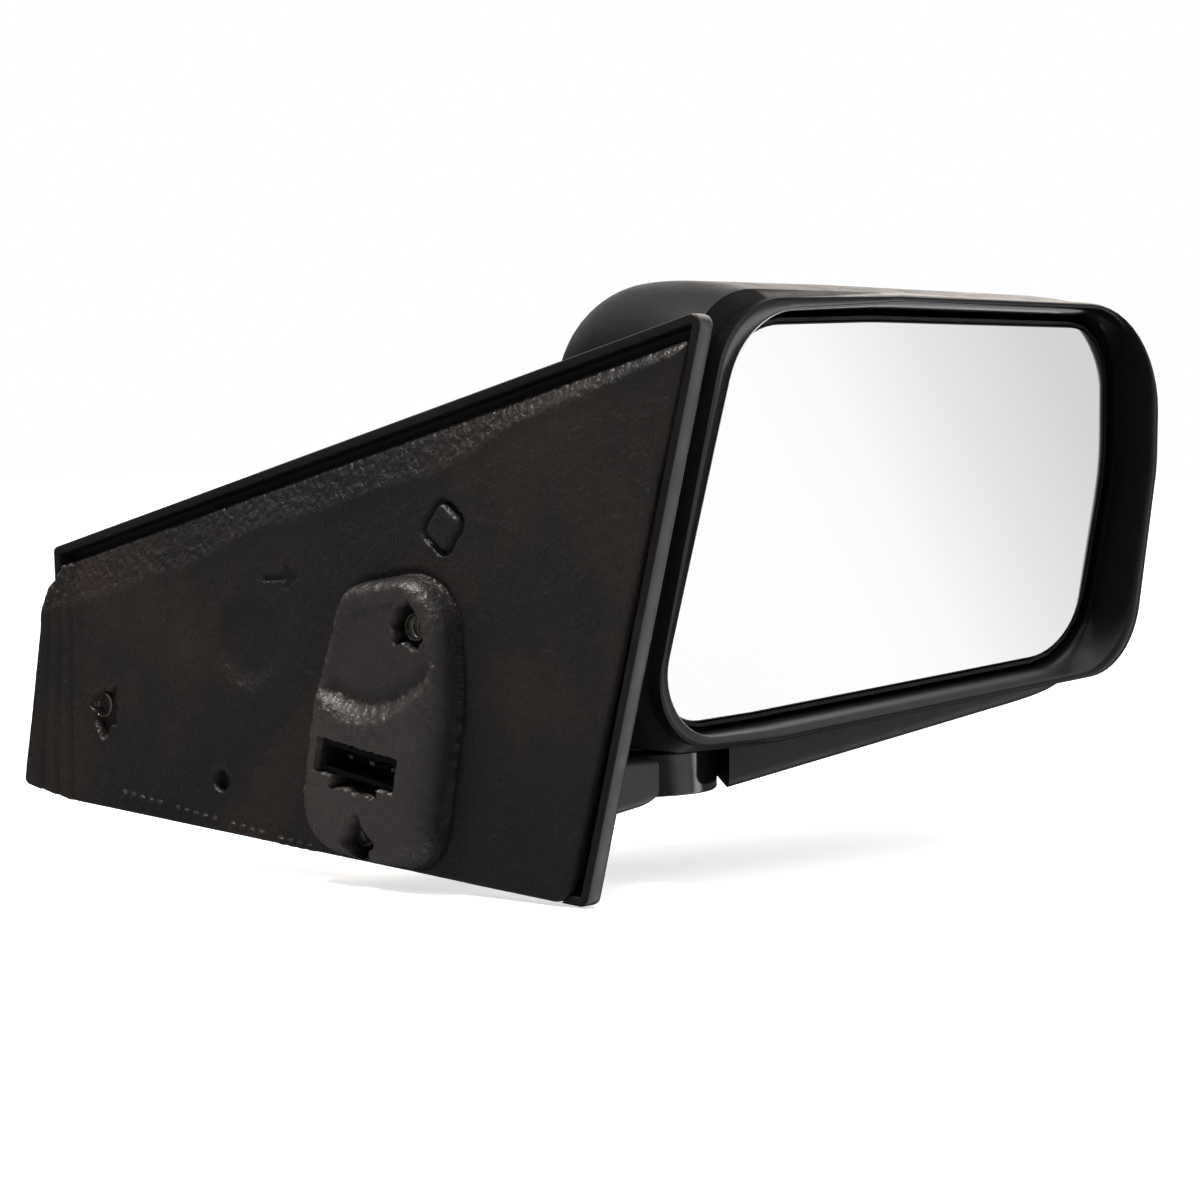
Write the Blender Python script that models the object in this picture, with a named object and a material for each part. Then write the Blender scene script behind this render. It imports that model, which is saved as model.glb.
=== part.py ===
"""Right-hand power door mirror for a small car, piece by piece.

Frame: metres, +X outboard, +Y towards the car's nose, +Z up. The plane x = 0 is
the flat face of the foam gasket that lies on the door, and the origin is on that
face between the three fixings. The mirror head stands on a vertical fold axis and
is turned by HEAD_YAW about it, so its pieces are built in the head's own frame:
x along the glass, y into the housing, z up, with the fold axis at x = y = 0.
"""

import math

import bmesh
import bpy
from mathutils import Vector

# ---- Clearances -------------------------------------------------------------
GAP = 0.0003              # between pieces that touch
EDGE = 0.0006             # chamfer of a moulded or turned edge
PAST = 0.01               # how far a cutter runs past what it cuts
OVER = 0.001              # the same, where the next face is close
RUN = 0.0003              # radial clearance of a turning fit
TIGHT = 0.0001            # how far faces of one piece may run past each other

# ---- Base: cover, gasket and bracket ------------------------------------------
COVER_CORNERS = (         # y, z, radius of the triangular cover, seen from outboard
    (-0.0959, -0.0362, 0.0025),
    (0.0840, -0.0240, 0.0040),
    (0.0876, 0.0415, 0.0015),
    (-0.1294, 0.0987, 0.0025),
)
FOAM_CORNERS = (          # y, z, radius of the gasket face
    (-0.0905, -0.0358, 0.0050),
    (0.0800, -0.0246, 0.0100),
    (0.0970, -0.0210, 0.0020),
    (0.0886, 0.0295, 0.0060),
    (0.0844, 0.0371, 0.0015),
    (-0.1256, 0.0925, 0.0015),
)
RIM_X = 0.0010            # inboard edge of the cover's rim
LOW_RIM_X = 0.0032        # the rim's edge where the gasket passes over it
COVER_SIDE_X = 0.0060     # where the cover's side turns into its sloping shoulder
COVER_TOP_X = 0.0152      # outboard face of the cover
COVER_SHOULDER = 0.0150   # how far the shoulder leans in
COVER_WALL = 0.0022
GROOVE = 0.0033           # open groove between the gasket and the rim's inside
FOAM_BACK_X = 0.0050      # back of the gasket, on the bracket
BLOCK_CORNERS = (         # y, z, radius of the raised block round the connector
    (-0.0520, -0.0318, 0.0120),
    (-0.0095, -0.0290, 0.0140),
    (-0.0155, 0.0080, 0.0600),
    (-0.0245, 0.0350, 0.0090),
    (-0.0575, 0.0405, 0.0140),
    (-0.0585, 0.0080, 0.0600),
)
BLOCK_X = -0.0090         # inboard face of the block
BLOCK_SHOULDER = 0.0045
RECESS_PLACE = (0.0133, 0.0199)
RECESS_RADIUS = 0.0115
RECESS_DEPTH = 0.0012
PIN_HOLE_PLACE = (0.0226, -0.0154)
PIN_HOLE_RADIUS = 0.0020
PIN_HOLE_DEPTH = 0.0040
LUG_PLACE = (-0.0529, 0.0497)
LUG_TURN = math.radians(37.0)
LUG_SIZE = (0.0076, 0.0088)
LUG_ROUND = 0.0016
LUG_HEIGHT = 0.0010
LUG_GROOVE = 0.0014       # width and depth of the groove round the lug
RIDGE_STEPS = (           # y of each ridge at the bottom and top, and its height
    (0.0805, 0.0810, 0.0007),
    (0.0855, 0.0843, 0.0014),
    (0.0910, 0.0872, 0.0021),
)
FIXINGS = (               # y, z and inboard end x of the three threaded fixings
    (0.0683, 0.0012, 0.0008),
    (-0.0486, 0.0262, -0.0050),
    (-0.0320, -0.0234, -0.0050),
)
INSERT_RADIUS = 0.0034
INSERT_BORE = 0.0025      # tapping radius of an M6 thread
BOSS_RADIUS = 0.0046
BOSS_X = 0.0028
BRACKET_X = 0.0053        # inboard face of the bracket's plate
BRACKET_THICK = 0.0025
BRACKET_INSET = 0.0088    # from the cover's outline to the plate's edge
WINDOWS = (               # y, z, width, height of the plate's lightening windows
    (0.0330, 0.0130, 0.0220, 0.0180),
    (-0.0860, 0.0480, 0.0200, 0.0200),
)
COVER_SCREWS = (          # y, z of the screws that hold the cover to the bracket
    (0.0560, 0.0170),
    (-0.0200, 0.0400),
    (-0.0980, 0.0700),
)
SCREW_RADIUS = 0.0015
SCREW_HEAD = 0.0032
SCREW_HEAD_THICK = 0.0018
SCREW_POST = 0.0036

# ---- Connector ----------------------------------------------------------------
SOCKET_PLACE = (-0.0326, -0.0071)
SOCKET_TILT = math.radians(9.0)
SOCKET_SIZE = (0.0250, 0.0074)
SOCKET_WALL = 0.0012
SOCKET_FRONT_X = -0.0072
SOCKET_FLOOR_X = 0.0032
SOCKET_BACK_X = 0.0050
SOCKET_GAP = 0.0004
TERMINAL_COUNT = 3
TERMINAL_PITCH = 0.0072
TERMINAL_SIZE = (0.0016, 0.0008)
TERMINAL_TIP_X = -0.0030

# ---- Fold pivot and neck ---------------------------------------------------------
FOLD_AXIS = (0.0627, -0.0540)
HEAD_YAW = math.radians(-9.0)
FOLD_REAR = math.radians(56.0)
FOLD_FRONT = math.radians(50.0)
NECK_ROOT = -0.0536       # where the neck leaves the cover, along the head's x
NECK_END = 0.0010
NECK_HALF = 0.0240
NECK_TOP = -0.0060
NECK_BOTTOM = -0.01715    # height of the neck's underside at the fold axis
NECK_SLOPE = 0.149        # fall of the underside towards the cover
NECK_WALL = 0.0022
NECK_ROUND = 0.0030
COLUMN_RADIUS = 0.0235
COLUMN_WALL = 0.0022
COLUMN_MOUTH = 0.0095     # opening in the column's top for the arm's hub
ARM_HUB = 0.0092
COLUMN_FLOOR = 0.0016
ARM_HALF = 0.0078
ARM_ROOT = -0.0568
ARM_TOP = -0.0085
ARM_BOTTOM = -0.0149
ARM_GROOVE = (0.0040, 0.0040)
ARM_GATE = (-0.0520, -0.0360)   # where the wires come into the groove from the side
POST_RADIUS = 0.0046
POST_BORE = 0.0029
POST_BOTTOM = -0.0130
POST_TOP = 0.0370
DETENT_RADIUS = 0.0100
DETENT_THICK = 0.0025
DETENT_BUMP = 0.0004
DETENT_COUNT = 3
HEAD_REST = -0.0025       # underside of the head's detent cup
HUB_WALL = 0.0015
HUB_FLOOR = 0.0040
HUB_TOP = 0.0260
SPRING_WIRE = 0.0009
SPRING_ROOM = 0.0007      # between the spring and the post inside it
SPRING_RADIUS = POST_RADIUS + SPRING_ROOM + SPRING_WIRE
HUB_ROOM = 0.0004         # between the spring and the hub's wall around it
HUB_RADIUS = SPRING_RADIUS + SPRING_WIRE + HUB_ROOM + HUB_WALL
SPRING_TURNS = 4
SPRING_STEPS = 12        # stations in each turn of the spring
SPRING_TOP = 0.0280
WASHER_THICK = 0.0015
RETAINER_THICK = 0.0040
RETAINER_RADIUS = 0.0072

# ---- Mirror head -----------------------------------------------------------------
LIP_CORNERS = (           # x, z, radius of the housing's rear edge, seen from behind
    (-0.0280, -0.0052, 0.0160),
    (0.0180, -0.0050, 0.0750),
    (0.1545, 0.0075, 0.0220),
    (0.1642, 0.0620, 0.0600),
    (0.1652, 0.1063, 0.0300),
    (0.0600, 0.1070, 0.1860),
    (-0.0025, 0.1065, 0.0220),
)
GLASS_CORNERS = (         # x, z, radius of the mirror glass
    (-0.0183, 0.0004, 0.0130),
    (0.0180, 0.0025, 0.0900),
    (0.1380, 0.0128, 0.0240),
    (0.1508, 0.0632, 0.0750),
    (0.1506, 0.1004, 0.0140),
    (0.0600, 0.1001, 0.2800),
    (0.0114, 0.0981, 0.0220),
)
LIP_Y = -0.0387           # rearmost crest of the lip
SEAM_Y = -0.0327          # joint between bezel and housing
GLASS_Y = -0.0295         # rear face of the glass
GLASS_THICK = 0.0020
TUNNEL_END_Y = -0.0250    # where the bezel's inner wall stops
TUNNEL_MARGIN = 0.0015    # room for the glass holder to swing inside the bezel
BEZEL_WALL = 0.0009
SHELL_WALL = 0.0018
SHELL_ROUND_Y = 0.0015    # where the housing starts to close towards its nose
SHELL_NOSE_Y = 0.0335
SHELL_CLOSE = (0.0180, 0.0180, 0.0280, 0.0280, 0.0240, 0.0240, 0.0270)
SHELL_BULGE = (0.0000, 0.0000, 0.0015, 0.0015, 0.0029, 0.0029, 0.0025)
SHELL_CROWN = 0.0020
WEDGE_STATIONS = (        # x, underside z, rear y, front y of the wedge under the head
    (0.0040, -0.01715, -0.0285, 0.0240),
    (0.0390, -0.0121, -0.0285, 0.0235),
    (0.1000, -0.0034, -0.0280, 0.0200),
    (0.1290, 0.0008, -0.0270, 0.0140),
    (0.1410, 0.0045, -0.0255, 0.0070),
    (0.1480, 0.0110, -0.0225, 0.0000),
)
WEDGE_TOP = 0.0180
WEDGE_ROUND = 0.0035
FOLD_CLEAR = 0.0015       # between the neck and the wedge as the head folds
LOW_CUT = -0.00495        # the wedge is cut away below this height over the neck

# ---- Glass holder and its drive ----------------------------------------------------
PIVOT = (0.0660, -0.0195, 0.0500)   # centre that the glass pans and tilts about
PAN_ARM = 0.0280          # from the centre to the pan jack, along x
TILT_ARM = 0.0240         # from the centre to the tilt jack, along z
PAD_THICK = 0.0006
HOLDER_FLOOR = 0.0022
HOLDER_RIM = 0.0009
HOLDER_REACH = 0.0002     # how far the rim stands back from the glass face
BALL_RADIUS = 0.0040
BALL_ROOM = 0.0012
SOCKET_RING = 0.0016
SOCKET_DEEP = 0.0068
GIMBAL_OUTER = 0.0110
GIMBAL_INNER = 0.0082
GIMBAL_THICK = 0.0040
EAR_NEAR = 0.0115
EAR_FAR = 0.0150
EAR_HALF = 0.0028
PIN_RADIUS = 0.0012
CASE_FRONT_Y = -0.0115
CASE_SPLIT_Y = -0.0025
CASE_BACK_Y = 0.0135
CASE_WALL = 0.0020
GEAR_TEETH = 20
GEAR_TIP = 0.0098
GEAR_ROOT = 0.0086
GEAR_Y = -0.0015
GEAR_THICK = 0.0050
GEAR_ROOM = (0.0022, 0.0002)        # beside and above the gears, inside the case
CASE_HALF = (PAN_ARM + GEAR_TIP + GEAR_ROOM[0] + CASE_WALL, TILT_ARM + GEAR_TIP + GEAR_ROOM[1] + CASE_WALL)
CASE_ROUND = 0.0080
JACK_RADIUS = 0.0032
JACK_NECK_Y = -0.0069     # where the jack's thin neck meets its threaded part
JACK_END_Y = 0.0055
JACK_HOLE = 0.0048
WORM_CORE = 0.0020
WORM_LOBE = 0.0006
WORM_LENGTH = 0.0140
WORM_PITCH = 0.0047
WORM_STEPS = 18
MOTOR_RADIUS = 0.0074
MOTOR_LENGTH = 0.0200
CARRIER_Y = 0.0139        # rear face of the carrier plate behind the actuator
CARRIER_THICK = 0.0025
CARRIER_CORNERS = (       # x, z, radius of the carrier plate
    (-0.0040, 0.0080, 0.0060),
    (0.1320, 0.0120, 0.0100),
    (0.1330, 0.0920, 0.0120),
    (0.0060, 0.0920, 0.0120),
)
SHELL_SCREWS = ((0.0140, 0.0620), (0.1220, 0.0790), (0.1220, 0.0290))
CASE_SCREWS = ((-0.0360, 0.0300), (0.0360, 0.0300), (0.0360, -0.0300))
PLUG_SIZE = (0.0060, 0.0080, 0.0120)
PLUG_Y = 0.0035
WIRE = 0.0026             # thickness of the wire bundle
WIRE_JOIN_Z = 0.0200      # height in the post where base and head harness meet
BASE_ROUTE = (            # world points, from the connector's back to the neck
    (0.0054, -0.0330, -0.0092),
    (0.0082, -0.0333, -0.0100),
    (0.0110, -0.0348, -0.0105),
    (0.0160, -0.0390, -0.0106),
    (0.0220, -0.0450, -0.0106),
)
WIRE_STOP = 0.0017        # from the end of the bundle to the plug
HEAD_ROUTE = (            # head-frame points, from the post's mouth towards the plug
    (0.0000, 0.0000, 0.0400),
    (0.0020, 0.0010, 0.0450),
    (0.0070, 0.0030, 0.0490),
    (0.0120, 0.0035, 0.0500),
)

CORNER_STEPS = 4
ROUND_STEPS = 20


# ---- Materials ---------------------------------------------------------------
def material(name, colour, roughness, metallic=0.0):
    made = bpy.data.materials.new(name)
    made.use_nodes = True
    shader = made.node_tree.nodes["Principled BSDF"]
    shader.inputs["Base Color"].default_value = (*colour, 1.0)
    shader.inputs["Roughness"].default_value = roughness
    shader.inputs["Metallic"].default_value = metallic
    return made


# ---- Outlines ------------------------------------------------------------------
def rounded(corners, steps=CORNER_STEPS):
    """Points of an outline whose corners are replaced by arcs of their radius."""
    points = []
    for i, (u, v, radius) in enumerate(corners):
        here = Vector((u, v))
        before = (Vector(corners[i - 1][:2]) - here).normalized()
        after = (Vector(corners[(i + 1) % len(corners)][:2]) - here).normalized()
        half = before.angle(after) / 2
        middle = here + (before + after).normalized() * radius / math.sin(half)
        start = here + before * radius / math.tan(half)
        sweep = (start - middle).angle_signed(here + after * radius / math.tan(half) - middle)
        arm = start - middle
        for step in range(steps + 1):
            turn = -sweep * step / steps
            points.append((
                middle.x + arm.x * math.cos(turn) - arm.y * math.sin(turn),
                middle.y + arm.x * math.sin(turn) + arm.y * math.cos(turn),
            ))
    return points


def inset(corners, distance, soft=1.0):
    """Moves each side of a counter-clockwise outline in by its distance.

    The corner radii shrink by the soft share of it."""
    count = len(corners)
    moves = distance if isinstance(distance, (tuple, list)) else (distance,) * count
    sides = []
    for i in range(count):
        start = Vector(corners[i][:2])
        along = (Vector(corners[(i + 1) % count][:2]) - start).normalized()
        sides.append((start + Vector((-along.y, along.x)) * moves[i], along))
    result = []
    for i in range(count):
        (p, d), (q, e) = sides[i - 1], sides[i]
        t = (q - p).cross(e) / d.cross(e)
        radius = corners[i][2] - soft * (moves[i - 1] + moves[i]) / 2
        result.append((*(p + d * t), max(radius, 0.0006)))
    return tuple(result)


def rectangle(width, height, radius=0.0006, place=(0.0, 0.0)):
    u, v = width / 2, height / 2
    signs = ((-1, -1), (1, -1), (1, 1), (-1, 1))
    return tuple((place[0] + a * u, place[1] + b * v, radius) for a, b in signs)


def circle(radius, steps=ROUND_STEPS):
    angles = (2 * math.pi * i / steps for i in range(steps))
    return [(radius * math.cos(a), radius * math.sin(a)) for a in angles]


def gear_outline(teeth, root, tip):
    points = []
    for tooth in range(teeth):
        for part, radius in ((-0.32, root), (-0.14, tip), (0.14, tip), (0.32, root)):
            angle = 2 * math.pi * (tooth + part) / teeth
            points.append((radius * math.cos(angle), radius * math.sin(angle)))
    return points


def across_x(points, x):
    return [(x, u, v) for u, v in points]


def across_y(points, y):
    return [(u, y, v) for u, v in points]


def across_z(points, z):
    return [(u, v, z) for u, v in points]


def blended(first, second, share):
    return [(a[0] + (b[0] - a[0]) * share, a[1] + (b[1] - a[1]) * share)
            for a, b in zip(first, second)]


# ---- Solids ---------------------------------------------------------------------
def loft(rings, looped=False):
    """Skins rings of equal point count; a looped loft joins its last ring to its first."""
    bm = bmesh.new()
    loops = [[bm.verts.new(p) for p in ring] for ring in rings]
    followers = loops[1:] + loops[:1] if looped else loops[1:]
    for near, far in zip(loops, followers):
        for i in range(len(near)):
            j = (i + 1) % len(near)
            bm.faces.new((near[i], near[j], far[j], far[i]))
    if not looped:
        bm.faces.new(loops[0])
        bm.faces.new(loops[-1])
    bmesh.ops.recalc_face_normals(bm, faces=bm.faces)
    return bm


def turned(profile, hollow=False, steps=ROUND_STEPS):
    """A solid of revolution about z from (radius, height) pairs."""
    return loft([across_z(circle(r, steps), z) for r, z in profile], hollow)


def tube(outer, inner, low, high, steps=ROUND_STEPS):
    return turned(((outer, low), (outer, high), (inner, high), (inner, low)), True, steps)


def box(low, high):
    ring = ((low[0], low[1]), (high[0], low[1]), (high[0], high[1]), (low[0], high[1]))
    return loft([across_z(ring, low[2]), across_z(ring, high[2])])


def place(name, bm, look=None, parent=None, at=(0, 0, 0), turn=(0, 0, 0)):
    """Links a mesh as an object; one with no material is a cutter."""
    mesh = bpy.data.meshes.new(name)
    bm.to_mesh(mesh)
    bm.free()
    mesh.shade_smooth()
    mesh.set_sharp_from_angle(angle=math.radians(32))
    piece = bpy.data.objects.new(name, mesh)
    bpy.context.collection.objects.link(piece)
    piece.parent = parent
    piece.location = at
    piece.rotation_euler = turn
    if look is None:
        piece.hide_render = True
        piece.display_type = "WIRE"
    else:
        mesh.materials.append(look)
    return piece


def combine(piece, tool, operation):
    modifier = piece.modifiers.new(tool.name, "BOOLEAN")
    modifier.operation = operation
    modifier.solver = "EXACT"
    modifier.object = tool


def add(piece, *tools):
    for tool in tools:
        combine(piece, tool, "UNION")


def cut(piece, *tools):
    for tool in tools:
        combine(piece, tool, "DIFFERENCE")


def empty(name, parent=None, at=(0, 0, 0), yaw=0.0):
    axis = bpy.data.objects.new(name, None)
    bpy.context.collection.objects.link(axis)
    axis.parent = parent
    axis.location = at
    axis.rotation_euler = (0, 0, yaw)
    return axis


def screw(name, look, parent, at, turn, length):
    """A pan-head screw: its head stands below z = 0 and its shank runs up z."""
    profile = (
        (SCREW_HEAD * 0.7, -SCREW_HEAD_THICK),
        (SCREW_HEAD, -SCREW_HEAD_THICK * 0.55),
        (SCREW_HEAD, 0.0),
        (SCREW_RADIUS, 0.0),
        (SCREW_RADIUS, length - SCREW_RADIUS),
        (SCREW_RADIUS * 0.3, length),
    )
    return place(name, turned(profile, steps=8), look, parent, at, turn)


def smooth_route(points, spacing):
    """Catmull-Rom curve through the points, sampled about every spacing."""
    knots = [Vector(p) for p in points]
    knots = [2 * knots[0] - knots[1], *knots, 2 * knots[-1] - knots[-2]]
    route = []
    for a, b, c, d in zip(knots, knots[1:], knots[2:], knots[3:]):
        steps = max(1, round((c - b).length / spacing))
        for step in range(steps):
            t = step / steps
            route.append(0.5 * ((2 * b) + (c - a) * t + (2 * a - 5 * b + 4 * c - d) * t * t
                                + (3 * b - a - 3 * c + d) * t ** 3))
    route.append(knots[-2])
    return route


def wire(name, points, look, parent=None):
    curve = bpy.data.curves.new(name, "CURVE")
    curve.dimensions = "3D"
    curve.bevel_depth = WIRE / 2
    curve.bevel_resolution = 2
    curve.use_fill_caps = True
    route = smooth_route(points, WIRE * 1.2)
    spline = curve.splines.new("POLY")
    spline.points.add(len(route) - 1)
    for point, spot in zip(spline.points, route):
        point.co = (*spot, 1.0)
    curve.materials.append(look)
    piece = bpy.data.objects.new(name, curve)
    bpy.context.collection.objects.link(piece)
    piece.parent = parent
    return piece


# ---- Base pieces -------------------------------------------------------------------
FACE_OUT = (0, math.pi / 2, 0)        # turns a z-built piece so that its z points to +X
INTO_HEAD = (-math.pi / 2, 0, 0)      # turns a z-built piece so that its z points to +Y


def neck_ring(x, shrink=0.0, lean=0.0):
    low = NECK_BOTTOM + NECK_SLOPE * x + shrink
    high = NECK_TOP - shrink
    outline = rectangle(2 * (NECK_HALF - shrink), high - low, NECK_ROUND - shrink / 2,
                        (0.0, (low + high) / 2))
    return [(x + lean * y, y, z) for y, z in rounded(outline, 3)]


def sail_cover(look, head):
    def ring(x, depth):
        return across_x(rounded(inset(COVER_CORNERS, depth)), x)

    lean = COVER_SHOULDER / (COVER_TOP_X - COVER_SIDE_X)
    roof_x = COVER_TOP_X - COVER_WALL
    rings = (
        ring(roof_x, COVER_WALL + (roof_x - COVER_SIDE_X) * lean),
        ring(COVER_SIDE_X, COVER_WALL),
        ring(RIM_X, COVER_WALL),
        ring(RIM_X, 0.0),
        ring(COVER_SIDE_X, 0.0),
        ring(COVER_TOP_X - COVER_WALL / 2, COVER_SHOULDER - COVER_WALL / 2),
        ring(COVER_TOP_X, COVER_SHOULDER + COVER_WALL / 2),
    )
    cover = place("sail_cover", loft(rings), look)
    neck = place("cut_neck_outer", loft([
        neck_ring(NECK_ROOT, 0.0, math.tan(HEAD_YAW)), neck_ring(NECK_END)]), None, head)
    hollow = place("cut_neck_inner", loft([
        neck_ring(NECK_ROOT - 0.002, NECK_WALL, math.tan(HEAD_YAW)), neck_ring(0.0, NECK_WALL)]),
        None, head)
    column = place("cut_neck_column", turned(((COLUMN_RADIUS + GAP, NECK_BOTTOM - PAST),
                                              (COLUMN_RADIUS + GAP, NECK_TOP + PAST))), None, head)
    low_rim = place("cut_low_rim", loft([
        across_x(rounded(inset(FOAM_CORNERS, -GAP)), RIM_X - PAST),
        across_x(rounded(inset(FOAM_CORNERS, -GAP)), LOW_RIM_X)]))
    for i, (y, z) in enumerate(COVER_SCREWS):
        low = BRACKET_X + BRACKET_THICK + GAP
        post = turned(((SCREW_POST, low), (SCREW_POST, COVER_TOP_X - COVER_WALL / 2)), steps=12)
        add(cover, place(f"cut_cover_post_{i + 1}", post, None, None, (0, y, z), FACE_OUT))
    add(cover, neck)
    cut(cover, hollow, column, low_rim)
    for i, (y, z, _) in enumerate(FIXINGS):
        relief = turned(((BOSS_RADIUS + GAP, 0.0), (BOSS_RADIUS + GAP, BRACKET_X + BRACKET_THICK + TIGHT)),
                        steps=16)
        cut(cover, place(f"cut_cover_relief_{i + 1}", relief, None, None, (0, y, z), FACE_OUT))
    for i, (y, z) in enumerate(COVER_SCREWS):
        hole = turned(((SCREW_RADIUS + GAP, 0.0), (SCREW_RADIUS + GAP, COVER_TOP_X - COVER_WALL)),
                      steps=12)
        cut(cover, place(f"cut_cover_pilot_{i + 1}", hole, None, None, (0, y, z), FACE_OUT))
    return cover


def socket_outline(grow):
    return rounded(rectangle(SOCKET_SIZE[0] + 2 * grow, SOCKET_SIZE[1] + 2 * grow), 2)


def foam_gasket(look):
    inside = rounded(inset(COVER_CORNERS, COVER_WALL + GROOVE))
    foam = place("foam_gasket", loft([
        across_x(rounded(FOAM_CORNERS), 0.0),
        across_x(rounded(FOAM_CORNERS), LOW_RIM_X - GAP)]), look)
    add(foam, place("cut_foam_plug", loft([
        across_x(inside, LOW_RIM_X / 2), across_x(inside, FOAM_BACK_X)])))
    block = [
        across_x(rounded(BLOCK_CORNERS), LOW_RIM_X / 2),
        across_x(rounded(BLOCK_CORNERS), BLOCK_X * 0.55),
        across_x(rounded(inset(BLOCK_CORNERS, BLOCK_SHOULDER * 0.35)), BLOCK_X * 0.86),
        across_x(rounded(inset(BLOCK_CORNERS, BLOCK_SHOULDER)), BLOCK_X),
    ]
    add(foam, place("cut_foam_block", loft(block)))
    low, high = FOAM_CORNERS[2][1], FOAM_CORNERS[3][1]
    for i, (y_low, y_high, rise) in enumerate(RIDGE_STEPS):
        edge = ((y_low, low + EDGE), (FOAM_CORNERS[2][0] - 0.0008, low + EDGE),
                (FOAM_CORNERS[3][0] - 0.0010, high - 0.0030), (y_high, high - 0.0020))
        add(foam, place(f"cut_foam_ridge_{i + 1}", loft([
            across_x(edge, LOW_RIM_X / 2), across_x(edge, -rise)])))
    lug = LUG_SIZE
    moat = (lug[0] + 2 * LUG_GROOVE, lug[1] + 2 * LUG_GROOVE)
    for name, size, low_x, high_x, change in (
            ("cut_foam_moat", moat, -PAST, LUG_GROOVE, cut),
            ("cut_foam_lug", lug, -LUG_HEIGHT, LUG_GROOVE + TIGHT, add)):
        ring = rounded(rectangle(*size, LUG_ROUND), 2)
        change(foam, place(name, loft([across_x(ring, low_x), across_x(ring, high_x)]),
                           None, None, (0, *LUG_PLACE), (LUG_TURN, 0, 0)))
    holes = [(RECESS_PLACE, RECESS_RADIUS, -PAST, RECESS_DEPTH, 20),
             (PIN_HOLE_PLACE, PIN_HOLE_RADIUS, -PAST, PIN_HOLE_DEPTH, 12)]
    for y, z, tip in FIXINGS:
        holes.append(((y, z), INSERT_RADIUS + EDGE, BLOCK_X - PAST, FOAM_BACK_X + PAST, 16))
        holes.append(((y, z), BOSS_RADIUS + GAP, BOSS_X - GAP, FOAM_BACK_X + PAST, 16))
    for spot in COVER_SCREWS:
        low = BRACKET_X - SCREW_HEAD_THICK - 2 * GAP
        holes.append((spot, SCREW_HEAD + GAP, low, FOAM_BACK_X + PAST, 12))
    for i, (spot, radius, low, high, steps) in enumerate(holes):
        hole = turned(((radius, low), (radius, high)), steps=steps)
        cut(foam, place(f"cut_foam_hole_{i + 1}", hole, None, None, (0, *spot), FACE_OUT))
    slot = [across_x(socket_outline(SOCKET_GAP), x) for x in (BLOCK_X - PAST, FOAM_BACK_X + PAST)]
    cut(foam, place("cut_foam_slot", loft(slot), None, None, (0, *SOCKET_PLACE),
                    (SOCKET_TILT, 0, 0)))
    return foam


def base_bracket(look, head):
    far_x = BRACKET_X + BRACKET_THICK
    outline = rounded(inset(COVER_CORNERS, BRACKET_INSET))
    bracket = place("base_bracket", loft([
        across_x(outline, BRACKET_X), across_x(outline, far_x)]), look)
    for i, (y, z, _) in enumerate(FIXINGS):
        boss = turned(((BOSS_RADIUS, BOSS_X), (BOSS_RADIUS, far_x - TIGHT)), steps=16)
        add(bracket, place(f"cut_boss_{i + 1}", boss, None, None, (0, y, z), FACE_OUT))
    arm = box((ARM_ROOT, -ARM_HALF, ARM_BOTTOM), (0.0, ARM_HALF, ARM_TOP))
    hub = turned(((ARM_HUB, ARM_BOTTOM), (ARM_HUB, NECK_TOP)))
    add(bracket, place("cut_arm", arm, None, head), place("cut_arm_hub", hub, None, head))
    width, depth = ARM_GROOVE
    groove = box((ARM_ROOT - PAST, -width / 2, ARM_TOP - depth), (0.0, width / 2, ARM_TOP + PAST))
    bore = turned(((POST_RADIUS + GAP, POST_BOTTOM - GAP), (POST_RADIUS + GAP, NECK_TOP + PAST)))
    side = box((ARM_GATE[0], 0.0, ARM_TOP - depth), (ARM_GATE[1], ARM_HALF + PAST, ARM_TOP + PAST))
    cut(bracket, place("cut_arm_groove", groove, None, head), place("cut_post_bore", bore, None, head),
        place("cut_arm_gate", side, None, head))
    for i, (y, z, wide, tall) in enumerate(WINDOWS):
        ring = rounded(rectangle(wide, tall, 0.004, (y, z)), 3)
        cut(bracket, place(f"cut_window_{i + 1}", loft([
            across_x(ring, BRACKET_X - PAST), across_x(ring, far_x + 0.003)])))
    holes = [((y, z), INSERT_RADIUS + GAP) for y, z, _ in FIXINGS]
    holes.append((BASE_ROUTE[0][1:], WIRE))
    holes += [(spot, SCREW_RADIUS + GAP) for spot in COVER_SCREWS]
    for i, (spot, radius) in enumerate(holes):
        hole = turned(((radius, BOSS_X - PAST), (radius, far_x + PAST)), steps=12)
        cut(bracket, place(f"cut_bracket_hole_{i + 1}", hole, None, None, (0, *spot), FACE_OUT))
    return bracket


def threaded_inserts(look):
    for i, (y, z, tip) in enumerate(FIXINGS):
        sleeve = tube(INSERT_RADIUS, INSERT_BORE, tip, BRACKET_X + BRACKET_THICK, 16)
        place(f"threaded_insert_{i + 1}", sleeve, look, None, (0, y, z), FACE_OUT)


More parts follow.
